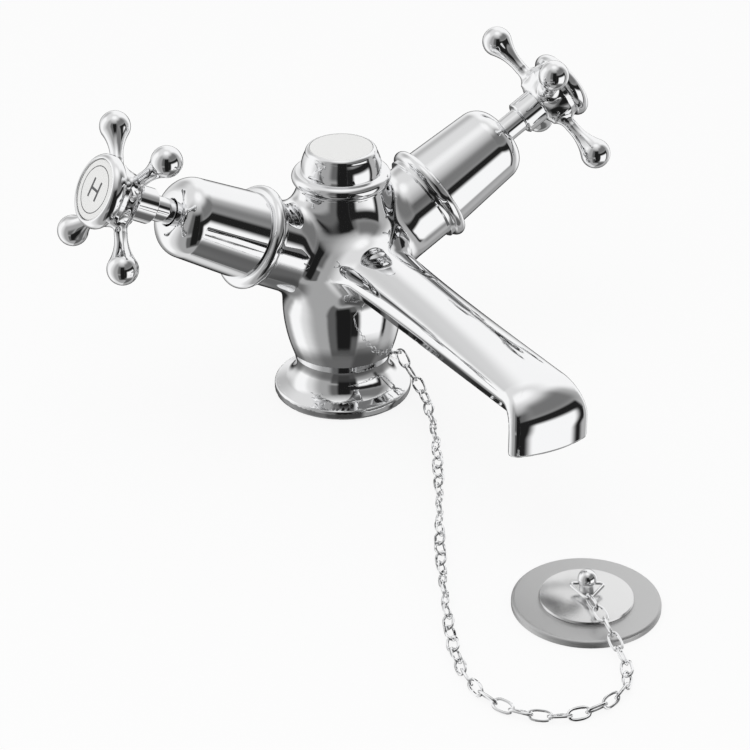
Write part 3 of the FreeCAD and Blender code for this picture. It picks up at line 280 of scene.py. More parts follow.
def add_piece(
    name: str,
    points: Points,
    faces: Faces,
    slot: Slot,
    body: str | None,
    nodes: Sequence[str] = (),
    normals: Points | None = None,
    finish: Finish | None = None,
) -> bpy.types.Object:
    """Puts a piece into the scene, at the origin, with its place in its mesh.

    Args:
        name: The piece's name.
        points: Its points in millimetres, one row each.
        faces: Its faces, as lists of point numbers.
        slot: The material slot it takes its finish from.
        body: The body it rides on, or None where it is blended later.
        nodes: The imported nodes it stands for.
        normals: The surface's own normals at the points, where they are known.
        finish: A finish other than the slot's.

    Returns:
        The new object.
    """
    mesh = bpy.data.meshes.new(name)
    mesh.from_pydata((np.asarray(points) * MM).tolist(), [], faces)
    mesh.update()
    mesh.shade_smooth()
    if normals is None:
        mesh.set_sharp_from_angle(angle=SHARP_EDGE)
    else:
        mesh.normals_split_custom_set_from_vertices(normals.tolist())
    mesh.materials.append((finish or FINISHES[slot]).material())
    piece = bpy.data.objects.new(name, mesh)
    bpy.context.scene.collection.objects.link(piece)
    if nodes:
        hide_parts(*nodes)
    if body is not None:
        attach(piece, body)
    LOG.info("%s: %d points", name, len(points))
    return piece


def rounding(first: Sequence[float], upright: Sequence[float]) -> float:
    """Radius of the arc that leaves one point upright and passes another.

    Args:
        first: The point that the arc passes.
        upright: The point where its tangent is along the axis.

    Returns:
        The radius.
    """
    across, along = first[0] - upright[0], first[1] - upright[1]
    return (across**2 + along**2) / (2.0 * abs(across))


def outline(corners: Sequence[Corner], steps: int = 14) -> Points:
    """A profile's points: straight runs, and arcs divided evenly by angle.

    A corner is (radius, station), or (radius, station, arc radius, sense) where an arc leads to
    the next corner; its centre lies left of the way for sense 1 and right of it for sense -1.

    Args:
        corners: The corners, anticlockwise in the plane of radius and station.
        steps: The divisions of each arc.

    Returns:
        The points as rows of radius and station.
    """
    runs = []
    for corner, following in zip(corners, [*corners[1:], corners[0]]):
        start, stop = np.array(corner[:2], float), np.array(following[:2], float)
        if len(corner) == 2:
            runs.append(start[None, :])
            continue
        radius, sense = corner[2:]
        half = np.hypot(*(stop - start)) / 2.0
        left = np.array([start[1] - stop[1], stop[0] - start[0]]) / (2.0 * half)
        centre = (start + stop) / 2.0 + left * sense * math.sqrt(max(radius**2 - half**2, 0.0))
        begin, end = (math.atan2(*(point - centre)[::-1]) for point in (start, stop))
        sweep = (end - begin + math.pi) % (2.0 * math.pi) - math.pi
        angles = begin + sweep * np.arange(steps) / steps
        runs.append(centre + radius * np.column_stack([np.cos(angles), np.sin(angles)]))
    return np.concatenate(runs)


def ease(profile: Points, cut: float = 0.22, sharp: float = 40.0) -> Points:
    """Breaks a profile's sharp corners with a small chamfer on each.

    A corner sharper than the limit gives way to two points, each a cut's length along one of its
    sides, or a third of the side where that is less. Corners on the axis stay.

    Args:
        profile: Rows of radius and station.
        cut: The chamfer's length along each side.
        sharp: The turn, in degrees, from which a corner is broken.

    Returns:
        The eased profile.
    """
    back = np.roll(profile, 1, axis=0) - profile
    ahead = np.roll(profile, -1, axis=0) - profile
    lengths = [np.linalg.norm(way, axis=1, keepdims=True) for way in (back, ahead)]
    units = [way / np.maximum(length, TINY) for way, length in zip((back, ahead), lengths)]
    turn = np.degrees(np.arccos(np.clip(-np.sum(units[0] * units[1], axis=1), -1.0, 1.0)))
    broken = (turn > sharp) & (profile[:, 0] > TINY)
    pair = [profile + unit * np.minimum(cut, length / 3.0) for unit, length in zip(units, lengths)]
    both = np.stack([np.where(broken[:, None], side, profile) for side in pair], axis=1)
    keep = np.column_stack([np.ones(len(profile), bool), broken])
    return both[keep]


def full_turn(count: int) -> Points:
    """Angles that divide a full turn evenly."""
    return 2.0 * math.pi * np.arange(count) / count


def net(numbers: np.ndarray) -> np.ndarray:
    """Quads over a grid of point numbers, with its last row and column joined to the first."""
    ahead = np.roll(numbers, -1, axis=0)
    return np.stack([numbers, ahead, np.roll(ahead, -1, axis=1), np.roll(numbers, -1, axis=1)], axis=-1)


def turned(profile: Points, matrix: Matrix, count: int = 112) -> tuple[Points, Faces]:
    """A surface of revolution: the profile carried round the frame's Z axis.

    The point at (radius, station) and angle a is (radius cos a, radius sin a, station). A point
    on the axis is one pole.

    Args:
        profile: Rows of radius and station, anticlockwise.
        matrix: The frame, in millimetres.
        count: The divisions of a full turn.

    Returns:
        The points and the faces.
    """
    angles = full_turn(count)
    radius, station = profile[:, :1], profile[:, 1:]
    grid = np.stack(
        [radius * np.cos(angles), radius * np.sin(angles), np.broadcast_to(station, (len(profile), count))],
        axis=-1,
    )
    numbers = np.arange(len(profile) * count).reshape(len(profile), count)
    numbers = np.where(radius < TINY, numbers[:, :1], numbers)
    return compact(place(grid.reshape(-1, 3), matrix), net(numbers.T).reshape(-1, 4))


def compact(points: Points, quads: np.ndarray) -> tuple[Points, Faces]:
    """Drops unused points, and turns quads that have lost a side into triangles.

    Args:
        points: The points.
        quads: Four point numbers a row, some of them the same.

    Returns:
        The used points and the faces.
    """
    used, flat = np.unique(quads, return_inverse=True)
    quads = flat.reshape(-1, 4)
    distinct = quads != np.roll(quads, -1, axis=1)
    whole = quads[distinct.sum(axis=1) == 4]
    part = distinct.sum(axis=1) == 3
    corners = quads[part][distinct[part]].reshape(-1, 3)
    return points[used], whole.tolist() + corners.tolist()


def place(points: Points, matrix: Matrix) -> Points:
    """The points carried into a frame."""
    grid = np.array(matrix)
    return points @ grid[:3, :3].T + grid[:3, 3]


def smooth_min(first: Points, second: Points, width: float) -> Points:
    """The lower of two fields, less (width - their gap)^2 / 4 width where they are that close."""
    close = np.maximum(width - np.abs(first - second), 0.0)
    return np.minimum(first, second) - close**2 / (4.0 * width)


def smooth_max(first: Points, second: Points, width: float) -> Points:
    """The higher of two fields, with their crease rounded over a width."""
    return -smooth_min(-first, -second, width)


@dataclass
class TurnedField:
    """Distance to a turned solid, kept as a table over radius and station."""

    profile: Points
    reach: float
    margin: float
    step: float = 0.25
    last_cell: float = 1.001
    table: Points = field(init=False)
    low: float = field(init=False)

    def __post_init__(self) -> None:
        """Fills the table: the distance to the nearest side, negative inside the outline."""
        self.low = float(self.profile[:, 1].min() - self.margin)
        high = float(self.profile[:, 1].max() + self.margin)
        radius, station = np.meshgrid(
            np.arange(0.0, self.reach + self.step, self.step),
            np.arange(self.low, high + self.step, self.step),
            indexing="ij",
        )
        nearest = np.full(radius.shape, np.inf)
        inside = np.zeros(radius.shape, bool)
        for start, stop in zip(self.profile, np.roll(self.profile, -1, axis=0)):
            way = stop - start
            if max(start[0], stop[0]) < TINY:
                continue
            share = ((radius - start[0]) * way[0] + (station - start[1]) * way[1]) / (way @ way)
            share = np.clip(share, 0.0, 1.0)
            gap = np.hypot(radius - start[0] - share * way[0], station - start[1] - share * way[1])
            nearest = np.minimum(nearest, gap)
            if abs(way[1]) > TINY:
                crossing = start[0] + (station - start[1]) * way[0] / way[1]
                inside ^= ((start[1] > station) != (stop[1] > station)) & (radius < crossing)
        self.table = np.where(inside, -nearest, nearest)

    def __call__(self, radius: Points, station: Points) -> Points:
        """Reads the table, in proportion between its entries.

        Args:
            radius: Distances from the axis.
            station: Places along the axis.

        Returns:
            The signed distances.
        """
        across = np.clip(radius / self.step, 0.0, self.table.shape[0] - self.last_cell)
        along = np.clip((station - self.low) / self.step, 0.0, self.table.shape[1] - self.last_cell)
        row, column = across.astype(int), along.astype(int)
        across, along = across - row, along - column
        near = self.table[row, column] * (1 - along) + self.table[row, column + 1] * along
        far = self.table[row + 1, column] * (1 - along) + self.table[row + 1, column + 1] * along
        return near * (1 - across) + far * across


def slope(shape: Field, points: Points, reach: float) -> Points:
    """A field's gradient, from its values a little way to either side along each axis."""
    steps = np.eye(3) * reach
    return np.stack([shape(points + step) - shape(points - step) for step in steps], axis=1) / (2 * reach)


# How a net's points slide onto their surface, and how far apart its normals are read
SLIDES = 5
SLIDE_REACH = 0.05
LEAST_SLOPE = 0.05
LONGEST_SLIDE = 1.0 / 3.0
NORMAL_REACH = 0.12


def skin(
    shape: Field, low: Sequence[float], high: Sequence[float], step: float
) -> tuple[Points, Faces, Points]:
    """The closed surface where a field is nil, as a net of quads.

    Each cell of a grid that the surface passes through gets one point, the mean of the crossings
    on its edges. Each grid edge that the surface crosses joins the four cells round it. The
    points then slide down the field's gradient until they lie on the surface.

    Args:
        shape: The field, negative inside.
        low: The grid's lowest corner.
        high: Its highest corner.
        step: Its spacing.

    Returns:
        The points, the faces and the normals at the points.
    """
    axes = [np.arange(start, stop + step, step) for start, stop in zip(low, high)]
    grid = np.stack(np.meshgrid(*axes, indexing="ij"), axis=-1)
    values = shape(grid.reshape(-1, 3)).reshape(grid.shape[:3])
    cells = tuple(count - 1 for count in values.shape)
    total, hits = np.zeros((*cells, 3)), np.zeros(cells)
    crossings = []
    for axis in range(3):
        others = [(axis + 1) % 3, (axis + 2) % 3]
        before = np.delete(np.arange(values.shape[axis]), -1)
        first, second = values.take(before, axis), values.take(before + 1, axis)
        cross = (first < 0.0) != (second < 0.0)
        share = np.where(cross, first / np.where(cross, first - second, 1.0), 0.0)
        spot = grid.take(before, axis).copy()
        spot[..., axis] += share * step
        spot *= cross[..., None]
        for offset in np.ndindex(2, 2):
            window = [slice(None)] * 3
            for other, shift in zip(others, offset):
                window[other] = slice(shift, values.shape[other] - 1 + shift)
            total += spot[tuple(window)]
            hits += cross[tuple(window)]
        crossings.append((cross, first < 0.0, others))
    held = hits > 0
    numbers = np.full(cells, -1)
    numbers[held] = np.arange(held.sum())
    points = total[held] / hits[held][:, None]
    faces = []
    for cross, rising, others in crossings:
        edge = np.argwhere(cross)
        ring = []
        for shift in ((-1, -1), (0, -1), (0, 0), (-1, 0)):
            cell = edge.copy()
            cell[:, others[0]] += shift[0]
            cell[:, others[1]] += shift[1]
            ring.append(numbers[tuple(cell.T)])
        quads = np.stack(ring, axis=1)
        flip = ~rising[tuple(edge.T)]
        quads[flip] = quads[flip][:, ::-1]
        faces.append(quads)
    for _ in range(SLIDES):
        gradient = slope(shape, points, SLIDE_REACH)
        square = np.maximum(np.sum(gradient**2, axis=1), LEAST_SLOPE)
        move = -(shape(points) / square)[:, None] * gradient
        points = points + np.clip(move, -step * LONGEST_SLIDE, step * LONGEST_SLIDE)
    normals = slope(shape, points, NORMAL_REACH)
    normals /= np.maximum(np.linalg.norm(normals, axis=1, keepdims=True), TINY)
    return points, np.concatenate(faces).tolist(), normals


def arm_frame(side: Side, turn: float = 0.0) -> Matrix:
    """Frame of an arm, in millimetres: Z out along it, X turned about it.

    Args:
        side: The valve's side.
        turn: The turn about the arm, in degrees.

    Returns:
        The frame.
    """
    lean = Matrix.Rotation(math.radians(side.value * (90.0 - ARM_TILT)), 4, "Y")
    spin = Matrix.Rotation(math.radians(turn), 4, "Z")
    return Matrix.Translation((0.0, 0.0, ARM_MEET)) @ lean @ spin


@dataclass
class CastBody:
    """The casting: turned column, two valve arms and the spout, run into one another."""

    flange_radius: float = 26.0
    flange_rim: float = 2.6
    flange_edge: float = 1.2
    flange_slope: Pair = (21.4, 5.2)
    neck: Pair = (17.8, 12.0)
    sweep: Pair = (18.75, 17.2)
    belly: Pair = (22.5, 38.0)
    crown: Pair = (16.2, 85.5)
    underside: float = 4.0
    rim_cover: float = 0.7
    arm_radius: float = 16.0
    arm_length: float = 39.0
    root_distance: float = 8.0
    spout_reach: float = 132.0
    elbow_inner: float = 2.0
    outlet_height: float = 48.0
    tip_flare: float = 2.0
    tip_floor_flare: float = 0.5
    half_width: Pair = (12.4, 13.2)
    root_flare: float = 4.0
    floor_half: Pair = (10.0, 9.2)
    floor: Pair = (53.2, 57.6)
    edge: Pair = (60.0, 64.4)
    corner: Pair = (4.8, 3.6)
    crowning: Pair = (6.5, 1.8)
    shoulder_drop: float = 0.32
    arm_blend: float = 8.0
    spout_blend: float = 12.0
    foot_round: float = 0.9
    side_round: float = 0.8
    top_round: float = 2.6
    floor_round: float = 1.6
    outlet_round: float = 0.9
    bore_round: float = 0.3
    grid_step: float = 1.0
    grid_half: float = 46.5
    grid_margin: float = 1.5
    grid_front: float = 7.0
    grid_top: float = 2.5
    outlet_radius: float = 4.8
    outlet_depth: float = 7.0
    inlet: Triple = (9.0, 4.5, 14.0)
    stud: Triple = (11.0, 4.1, 15.0)
    groove: Triple = (19.0, 23.0, 2.0)
    column: TurnedField = field(init=False)
    outlet_y: float = field(init=False)

    def __post_init__(self) -> None:
        """Works out the column's field, and reads the outlet's place from its straightener."""
        profile = outline([
            (0.0, -self.underside),
            (self.flange_radius, -self.underside),
            (self.flange_radius, self.flange_rim, self.flange_edge, 1),
            (self.flange_radius - self.flange_edge, self.flange_rim + self.flange_edge),
            (*self.flange_slope, rounding(self.flange_slope, self.neck), -1),
            (*self.neck, rounding(self.sweep, self.neck), -1),
            (*self.sweep, rounding(self.sweep, self.belly), 1),
            (*self.belly, rounding(self.crown, self.belly), 1),
            self.crown,
            (self.crown[0], self.crown[1] + self.rim_cover),
            (0.0, self.crown[1] + self.rim_cover),
        ])
        self.column = TurnedField(profile, reach=60.0, margin=6.0)
        low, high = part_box("outlet_straightener")
        self.outlet_y = (low[1] + high[1]) / 2.0 / MM

    def arm(self, points: Points, side: Side) -> Points:
        """Distance to one arm: a cylinder that starts inside the column.

        Args:
            points: Points in millimetres.
            side: The arm's side.

        Returns:
            The signed distances.
        """
        local = place(points, arm_frame(side).inverted())
        round_wall = np.hypot(local[:, 0], local[:, 1]) - self.arm_radius
        end = local[:, 2] - self.arm_length - self.rim_cover
        return np.maximum.reduce([round_wall, end, -local[:, 2]])

    def spout(self, points: Points) -> Points:
        """Distance to the spout: a crowned section carried out, round the elbow and down.

        The section's height coordinate is the world's on the run, the distance from the elbow's
        axis in the bend, and the distance out on the tip. The section is where a crown's circle,
        upright walls, drawn-in sides and a flat floor all lie outside.

        Args:
            points: Points in millimetres.

        Returns:
            The signed distances.
        """
        across, out, up = np.abs(points[:, 0]), -points[:, 1], points[:, 2]
        bend = self.floor[1] - self.elbow_inner
        past = np.maximum(out - self.spout_reach, 0.0)
        turned_height = bend + np.hypot(past, np.maximum(up - bend, 0.0))
        rise = np.where(past > 0.0, turned_height, up)
        share = np.clip((out - self.root_distance) / (self.spout_reach - self.root_distance), 0.0, 1.0)
        turn = np.arctan2(past, np.maximum(up - bend, TINY)) / (math.pi / 2.0)
        drop = turn**2 * (3.0 - 2.0 * turn)

        def along(ends: Pair) -> Points:
            """A size between its values at the root and at the elbow."""
            return ends[0] + (ends[1] - ends[0]) * share

        half = along(self.half_width) + self.root_flare * (1.0 - share) ** 4 + self.tip_flare * drop
        floor_half = along(self.floor_half) + self.tip_floor_flare * drop
        floor, edge, corner, crown = map(along, (self.floor, self.edge, self.corner, self.crowning))
        fall = crown + self.shoulder_drop * corner
        bow = (half**2 + fall**2) / (2.0 * fall)
        top = np.hypot(across, rise - (edge + corner + crown - bow)) - bow
        width, height = half - floor_half, edge - floor
        drawn = ((across - floor_half) * height - (rise - floor) * width) / np.hypot(width, height)
        walls = smooth_max(across - half, drawn, self.side_round)
        section = smooth_max(smooth_max(walls, top, self.top_round), floor - rise, self.floor_round)
        section = smooth_max(section, self.outlet_height - up, self.outlet_round)
        return np.maximum(section, self.root_distance - out)

    def holes(self, points: Points) -> Points:
        """Distance to the bores that show: outlet, inlets, stud hole and the gasket's groove.

        Args:
            points: Points in millimetres.

        Returns:
            The signed distances, negative in a bore.
        """
        x, y, z = points.T
        offset, radius, depth = self.inlet
        bores = [
            np.maximum(np.hypot(x, y - self.outlet_y) - self.outlet_radius,
                       z - self.outlet_height - self.outlet_depth),
            np.maximum(np.hypot(np.abs(x) - offset, y) - radius, z - depth),
            np.maximum(np.hypot(x, y - self.stud[0]) - self.stud[1], z - self.stud[2]),
        ]
        middle = (self.groove[0] + self.groove[1]) / 2.0
        half = (self.groove[1] - self.groove[0]) / 2.0
        bores.append(np.maximum(np.abs(np.hypot(x, y) - middle) - half, z - self.groove[2]))
        return np.minimum.reduce(bores)

    def shape(self, points: Points) -> Points:
        """The whole casting's field: column, arms and spout run together, less the bores and the deck.

        Args:
            points: Points in millimetres.

        Returns:
            The signed distances.
        """
        metal = self.column(np.hypot(points[:, 0], points[:, 1]), points[:, 2])
        for side in Side:
            metal = smooth_min(metal, self.arm(points, side), self.arm_blend)
        metal = smooth_min(metal, self.spout(points), self.spout_blend)
        metal = smooth_max(metal, -self.holes(points), self.bore_round)
        return smooth_max(metal, -points[:, 2], self.foot_round)

    def build(self) -> None:
        """Makes the casting's skin and dresses it in chrome."""
        reach = self.spout_reach + self.edge[1] + self.corner[1] - self.floor[1] + self.grid_front
        points, faces, normals = skin(
            self.shape,
            (-self.grid_half, -reach, -self.grid_margin),
            (self.grid_half, self.flange_radius + self.grid_margin, self.crown[1] + self.grid_top),
            self.grid_step,
        )
        add_piece("mixer_casting", points, faces, Slot.CHROME, "mixer", ["mixer_body"], normals)


def disc_profile(radius: float, floor: float, face: float, edge: float) -> Points:
    """A ceramic disc's profile, its face's edge rounded.

    Args:
        radius: The disc's radius.
        floor: The station of its back.
        face: The station of its face.
        edge: The radius of its edge.

    Returns:
        Rows of radius and station.
    """
    edge_line = [(radius, face - edge, edge, 1), (radius - edge, face)]
    return outline([(0.0, floor), (radius, floor), *edge_line, (0.0, face)])


@dataclass
class TopCap:
    """The screwed cap on the column, with its ceramic disc."""

    lip_radius: float = 17.0
    lip_base: float = 85.5
    lip: float = 0.9
    bead_root: float = 16.6
    bead: float = 4.6
    bead_round: float = 2.392
    wall_radius: float = 15.0
    wall_round: float = 16.0
    shoulder_radius: float = 13.2
    shoulder_height: float = 98.4
    edge_round: float = 1.9
    top: float = 100.2
    disc_radius: float = 11.6
    disc_floor: float = 97.8
    disc_edge: float = 0.25
    gap: float = 0.1
    floor: float = 2.5
    spigot: Triple = (8.0, 10.9, 76.5)

    def build(self) -> None:
        """Turns the cap and its disc."""
        bore, seat = self.disc_radius + self.gap, self.disc_floor - self.gap
        bead_base = self.lip_base + self.lip
        cap = outline([
            (self.spigot[0], self.spigot[2]),
            (self.spigot[1], self.spigot[2]),
            (self.spigot[1], self.lip_base),
            (self.lip_radius, self.lip_base),
            (self.lip_radius, bead_base),
            (self.bead_root, bead_base, self.bead_round, 1),
            (self.bead_root, bead_base + self.bead),
            (self.wall_radius, bead_base + self.bead, self.wall_round, 1),
            (self.shoulder_radius, self.shoulder_height, self.edge_round, 1),
            (bore, self.top),
            (bore, seat),
            (0.0, seat),
            (0.0, seat - self.floor),
            (self.spigot[0], seat - self.floor),
        ], steps=20)
        disc = disc_profile(self.disc_radius, self.disc_floor, self.top, self.disc_edge)
        add_piece("cap_shell", *turned(ease(cap), UPRIGHT, count=144), Slot.CHROME, "mixer", ["top_cap"])
        add_piece("cap_disc", *turned(disc, UPRIGHT), Slot.CERAMIC, "mixer", ["top_index_disc"])


def read_curve(curve: bpy.types.Curve) -> tuple[Points, Faces]:
    """Makes a curve or a letter a mesh, and removes the curve.

    Args:
        curve: The curve.

    Returns:
        The mesh's points and faces.
    """
    holder = bpy.data.objects.new(curve.name, curve)
    mesh = bpy.data.meshes.new_from_object(holder)
    points = np.empty(3 * len(mesh.vertices))
    mesh.vertices.foreach_get("co", points)
    faces = [list(polygon.vertices) for polygon in mesh.polygons]
    bpy.data.meshes.remove(mesh)
    bpy.data.objects.remove(holder)
    bpy.data.curves.remove(curve)
    return points.reshape(-1, 3), faces


@dataclass
class IndexMark:
    """A ring line and a letter on a ceramic disc."""

    face: float
    ring_radius: float = 8.3
    ring_width: float = 0.32
    proud: float = 0.03
    letter_size: float = 10.5

    def build(self, name: str, matrix: Matrix, body: str, letter: str) -> None:
        """Puts the mark on a disc's face.

        Args:
            name: The start of the pieces' names.
            matrix: The disc's frame, Z out of its face and Y up the letter.
            body: The body it rides on.
            letter: The letter.
        """
        inner, outer = self.ring_radius, self.ring_radius + self.ring_width
        low, high = self.face - self.proud, self.face + self.proud
        ring = np.array([(inner, low), (outer, low), (outer, high), (inner, high)])
        add_piece(f"{name}_ring_line", *turned(ring, matrix), Slot.CERAMIC, body, finish=MARK_INK)
        writing = bpy.data.curves.new(f"{name}_letter", "FONT")
        writing.body = letter
        writing.size = self.letter_size
        writing.extrude = self.proud
        writing.align_x = "CENTER"
        writing.align_y = "CENTER"
        points, faces = read_curve(writing)
        middle = (points.min(axis=0) + points.max(axis=0)) / 2.0
        points -= [middle[0], middle[1], -self.face]
        add_piece(f"{name}_letter", place(points, matrix), faces, Slot.CERAMIC, body, finish=MARK_INK)


@dataclass
class Valve:
    """What shows of a valve: collar ring, bell cover and the spindle's stem."""

    side: Side
    collar_bore: float = 12.05
    collar_base: float = 39.0
    collar_radius: float = 17.5
    collar_lip: float = 1.5
    collar_front: float = 45.2
    bead_round: float = 2.444
    bell_bore: float = 13.6
    bell_thread: float = 52.1
    bell_root: float = 16.2
    bell_shoulder: Triple = (14.8, 71.0, 8.57)
    bell_end: Pair = (7.6, 79.4)
    bell_hole: float = 5.1
    bell_wall: float = 2.2
    bell_inner_round: float = 8.4
    stem: Pair = (4.6, 96.2)
    drive: Triple = (6.3, 30.0, 33.3)
    grooves: Pair = (62.8, 74.8)
    groove: Pair = (1.2, 1.0)
    square: Pair = (5.6, 6.6)
    square_turn: float = 45.0
    gap: float = 0.1

    def build(self) -> None:
        """Turns the collar, the bell and the spindle."""
        matrix = arm_frame(self.side)
        label = self.side.label
        collar = outline([
            (self.collar_bore, self.collar_base),
            (self.collar_radius, self.collar_base),
            (self.collar_radius, self.collar_base + self.collar_lip, self.bead_round, 1),
            (self.collar_radius, self.collar_front),
            (self.collar_bore, self.collar_front),
        ], steps=24)
        shoulder, station, curve = self.bell_shoulder
        bell = outline([
            (self.bell_bore, self.collar_front + self.gap),
            (self.bell_root, self.collar_front + self.gap),
            (shoulder, station, curve, 1),
            self.bell_end,
            (self.bell_hole, self.bell_end[1]),
            (self.bell_hole, self.bell_end[1] - self.bell_wall),
            (self.bell_end[0], self.bell_end[1] - self.bell_wall, self.bell_inner_round, -1),
            (shoulder - self.bell_wall, station),
            (shoulder - self.bell_wall, self.bell_thread),
            (self.bell_bore, self.bell_thread),
        ], steps=28)
        for name, node, profile in (("collar", "collar_ring", collar), ("bell", "bell_cover", bell)):
            surface = turned(ease(profile), matrix, count=144)
            add_piece(f"{label}_{name}", *surface, Slot.CHROME, "mixer", [f"{label}_{node}"])
        self.build_spindle()

    def build_spindle(self) -> None:
        """Turns the spindle with its grooves, and sets the handle's square on its end."""
        label = self.side.label
        radius, top = self.stem
        wide, low, high = self.drive
        width, depth = self.groove
        corners = [(0.0, low), (wide, low), (wide, high), (radius, high)]
        for station in self.grooves:
            corners += [(radius, station), (radius - depth, station)]
            corners += [(radius - depth, station + width), (radius, station + width)]
        corners += [(radius, top), (0.0, top)]
        shaft, faces = turned(outline(corners), arm_frame(self.side), count=72)
        side, length = self.square
        corner = side / math.sqrt(2.0)
        prism = np.array([(0.0, top), (corner, top), (corner, top + length), (0.0, top + length)])
        turn = Handle.TURNS[self.side] + self.square_turn
        block, sides = turned(prism, arm_frame(self.side, turn), count=4)
        faces += [[number + len(shaft) for number in face] for face in sides]
        add_piece(f"{label}_stem", np.concatenate([shaft, block]), faces, Slot.CHROME,
                  f"{label}_handle", [f"{label}_spindle"])


@dataclass
class Handle:
    """A cross handle: sleeve, hub with ball-ended arms, bezel and ceramic disc."""

    TURNS = {Side.HOT: 48.5, Side.COLD: 43.5}
    LETTERS = {Side.HOT: "H", Side.COLD: "C"}
    side: Side
    sleeve: tuple[float, float, float, float] = (4.7, 6.5, 87.8, 96.2)
    hub_back: Pair = (7.0, 96.3)
    hub_front: Pair = (11.6, 106.1)
    hub_rim: float = 2.0
    boss: Pair = (9.8, 107.8)
    cross: float = 101.0
    arm_start: float = 5.0
    arm_root: Pair = (4.4, 9.5)
    waist: Pair = (2.4, 14.5)
    waist_share: float = 1.4
    ball: Pair = (5.6, 28.5)
    swell_share: float = 0.86
    bezel_bore: float = 9.9
    bezel_back: Triple = (12.3, 106.2, 2.804)
    bezel_belly: Triple = (13.5, 108.5, 3.613)
    bezel_lip: Pair = (11.9, 111.5)
    bezel_seat: Pair = (11.1, 108.2)
    disc: Triple = (11.0, 108.3, 111.1)
    disc_edge: float = 0.56
    arm_blend: float = 2.4
    sleeve_cut: float = 0.4
    grid_step: float = 0.6
    grid_margin: float = 1.0

    def cross_field(self) -> Field:
        """The cross's field: the turned hub, run into arms along both axes of its frame.

        Returns:
            A function of points in the handle's frame.
        """
        hub = TurnedField(outline([
            (0.0, self.hub_back[1]),
            self.hub_back,
            (self.hub_front[0], self.hub_front[1] - self.hub_rim),
            self.hub_front,
            (self.boss[0], self.hub_front[1]),
            self.boss,
            (0.0, self.boss[1]),
        ]), reach=40.0, margin=8.0, step=0.2)
        radius, distance = self.ball
        swell = (radius * self.swell_share, distance - radius * math.sqrt(1.0 - self.swell_share**2))
        arm = TurnedField(outline([
            (0.0, self.arm_start),
            (self.arm_root[0], self.arm_start),
            (*self.arm_root, self.waist[1] - self.arm_root[1], -1),
            (*self.waist, (distance - self.waist[1]) * self.waist_share, -1),
            (*swell, radius, 1),
            (radius, distance, radius, 1),
            (0.0, distance + radius),
        ], steps=24), reach=40.0, margin=8.0, step=0.2)

        def shape(points: Points) -> Points:
            """Distance to the cross.

            Args:
                points: Points in the handle's frame.

            Returns:
                The signed distances.
            """
            x, y, z = points.T
            level = z - self.cross
            arms = np.minimum(arm(np.hypot(y, level), np.abs(x)), arm(np.hypot(x, level), np.abs(y)))
            return smooth_min(hub(np.hypot(x, y), z), arms, self.arm_blend)

        return shape

    def build(self) -> None:
        """Makes the handle's pieces, all on the turning body."""
        label = self.side.label
        body = f"{label}_handle"
        matrix = arm_frame(self.side, self.TURNS[self.side])
        inner, outer, back, front = self.sleeve
        sleeve = np.array([(inner, back), (outer, back), (outer, front), (inner, front)])
        bezel = outline([
            (self.bezel_bore, self.bezel_back[1]),
            (*self.bezel_back, 1),
            (*self.bezel_belly, 1),
            self.bezel_lip,
            (self.bezel_seat[0], self.bezel_lip[1]),
            self.bezel_seat,
            (self.bezel_bore, self.bezel_seat[1]),
        ], steps=18)
        disc = disc_profile(*self.disc, self.disc_edge)
        for name, node, slot, surface in (
            ("sleeve", "handle_sleeve", Slot.CHROME, turned(ease(sleeve, cut=self.sleeve_cut), matrix)),
            ("bezel", "handle_bezel", Slot.CHROME, turned(ease(bezel), matrix, count=128)),
            ("disc", "index_disc", Slot.CERAMIC, turned(disc, matrix)),
        ):
            add_piece(f"{label}_{name}", *surface, slot, body, [f"{label}_{node}"])
        reach = self.ball[1] + self.ball[0] + self.grid_margin
        points, faces, normals = skin(
            self.cross_field(),
            (-reach, -reach, self.cross - self.ball[0] - self.grid_margin),
            (reach, reach, self.boss[1] + self.grid_margin),
            self.grid_step,
        )
        turn = np.array(matrix)[:3, :3]
        add_piece(f"{label}_cross", place(points, matrix), faces, Slot.CHROME, body,
                  [f"{label}_handle_cross"], normals @ turn.T)
        upright = arm_frame(self.side, 90.0 * self.side.value)
        IndexMark(self.disc[2]).build(f"{label}_disc", upright, body, self.LETTERS[self.side])


@dataclass
class Plug:
    """The domed plug and its ball-headed post."""

    bore: float = 2.1
    radius: float = 15.8
    base: float = 2.5
    rim: float = 3.7
    dome: float = 60.488
    top: float = 5.8
    post: Pair = (2.0, -7.6)
    neck: Triple = (2.6, 5.9, 8.535)
    head: Pair = (3.2, 10.4)
    dome_cut: float = 0.4
    post_cut: float = 0.15

    def build(self) -> None:
        """Turns the plug and the post about the waste's axis."""
        matrix = Matrix.Translation((WASTE_CENTRE[0] / MM, WASTE_CENTRE[1] / MM, 0.0))
        dome = outline([
            (self.bore, self.base),
            (self.radius, self.base),
            (self.radius, self.rim, self.dome, 1),
            (self.bore, self.top),
        ], steps=30)
        neck, foot, swell = self.neck
        radius, middle = self.head
        post = outline([
            (0.0, self.post[1]),
            self.post,
            (self.post[0], foot),
            (neck, foot),
            (neck, swell, radius, 1),
            (radius, middle, radius, 1),
            (0.0, middle + radius),
        ], steps=16)
        dome_surface = turned(ease(dome, cut=self.dome_cut), matrix, count=128)
        post_surface = turned(ease(post, cut=self.post_cut), matrix, count=64)
        add_piece("plug_dome", *dome_surface, Slot.CHROME, "plug_unit", ["plug"], finish=SPUN_CHROME)
        add_piece("plug_stem", *post_surface, Slot.CHROME, "plug_unit", ["plug_post"])


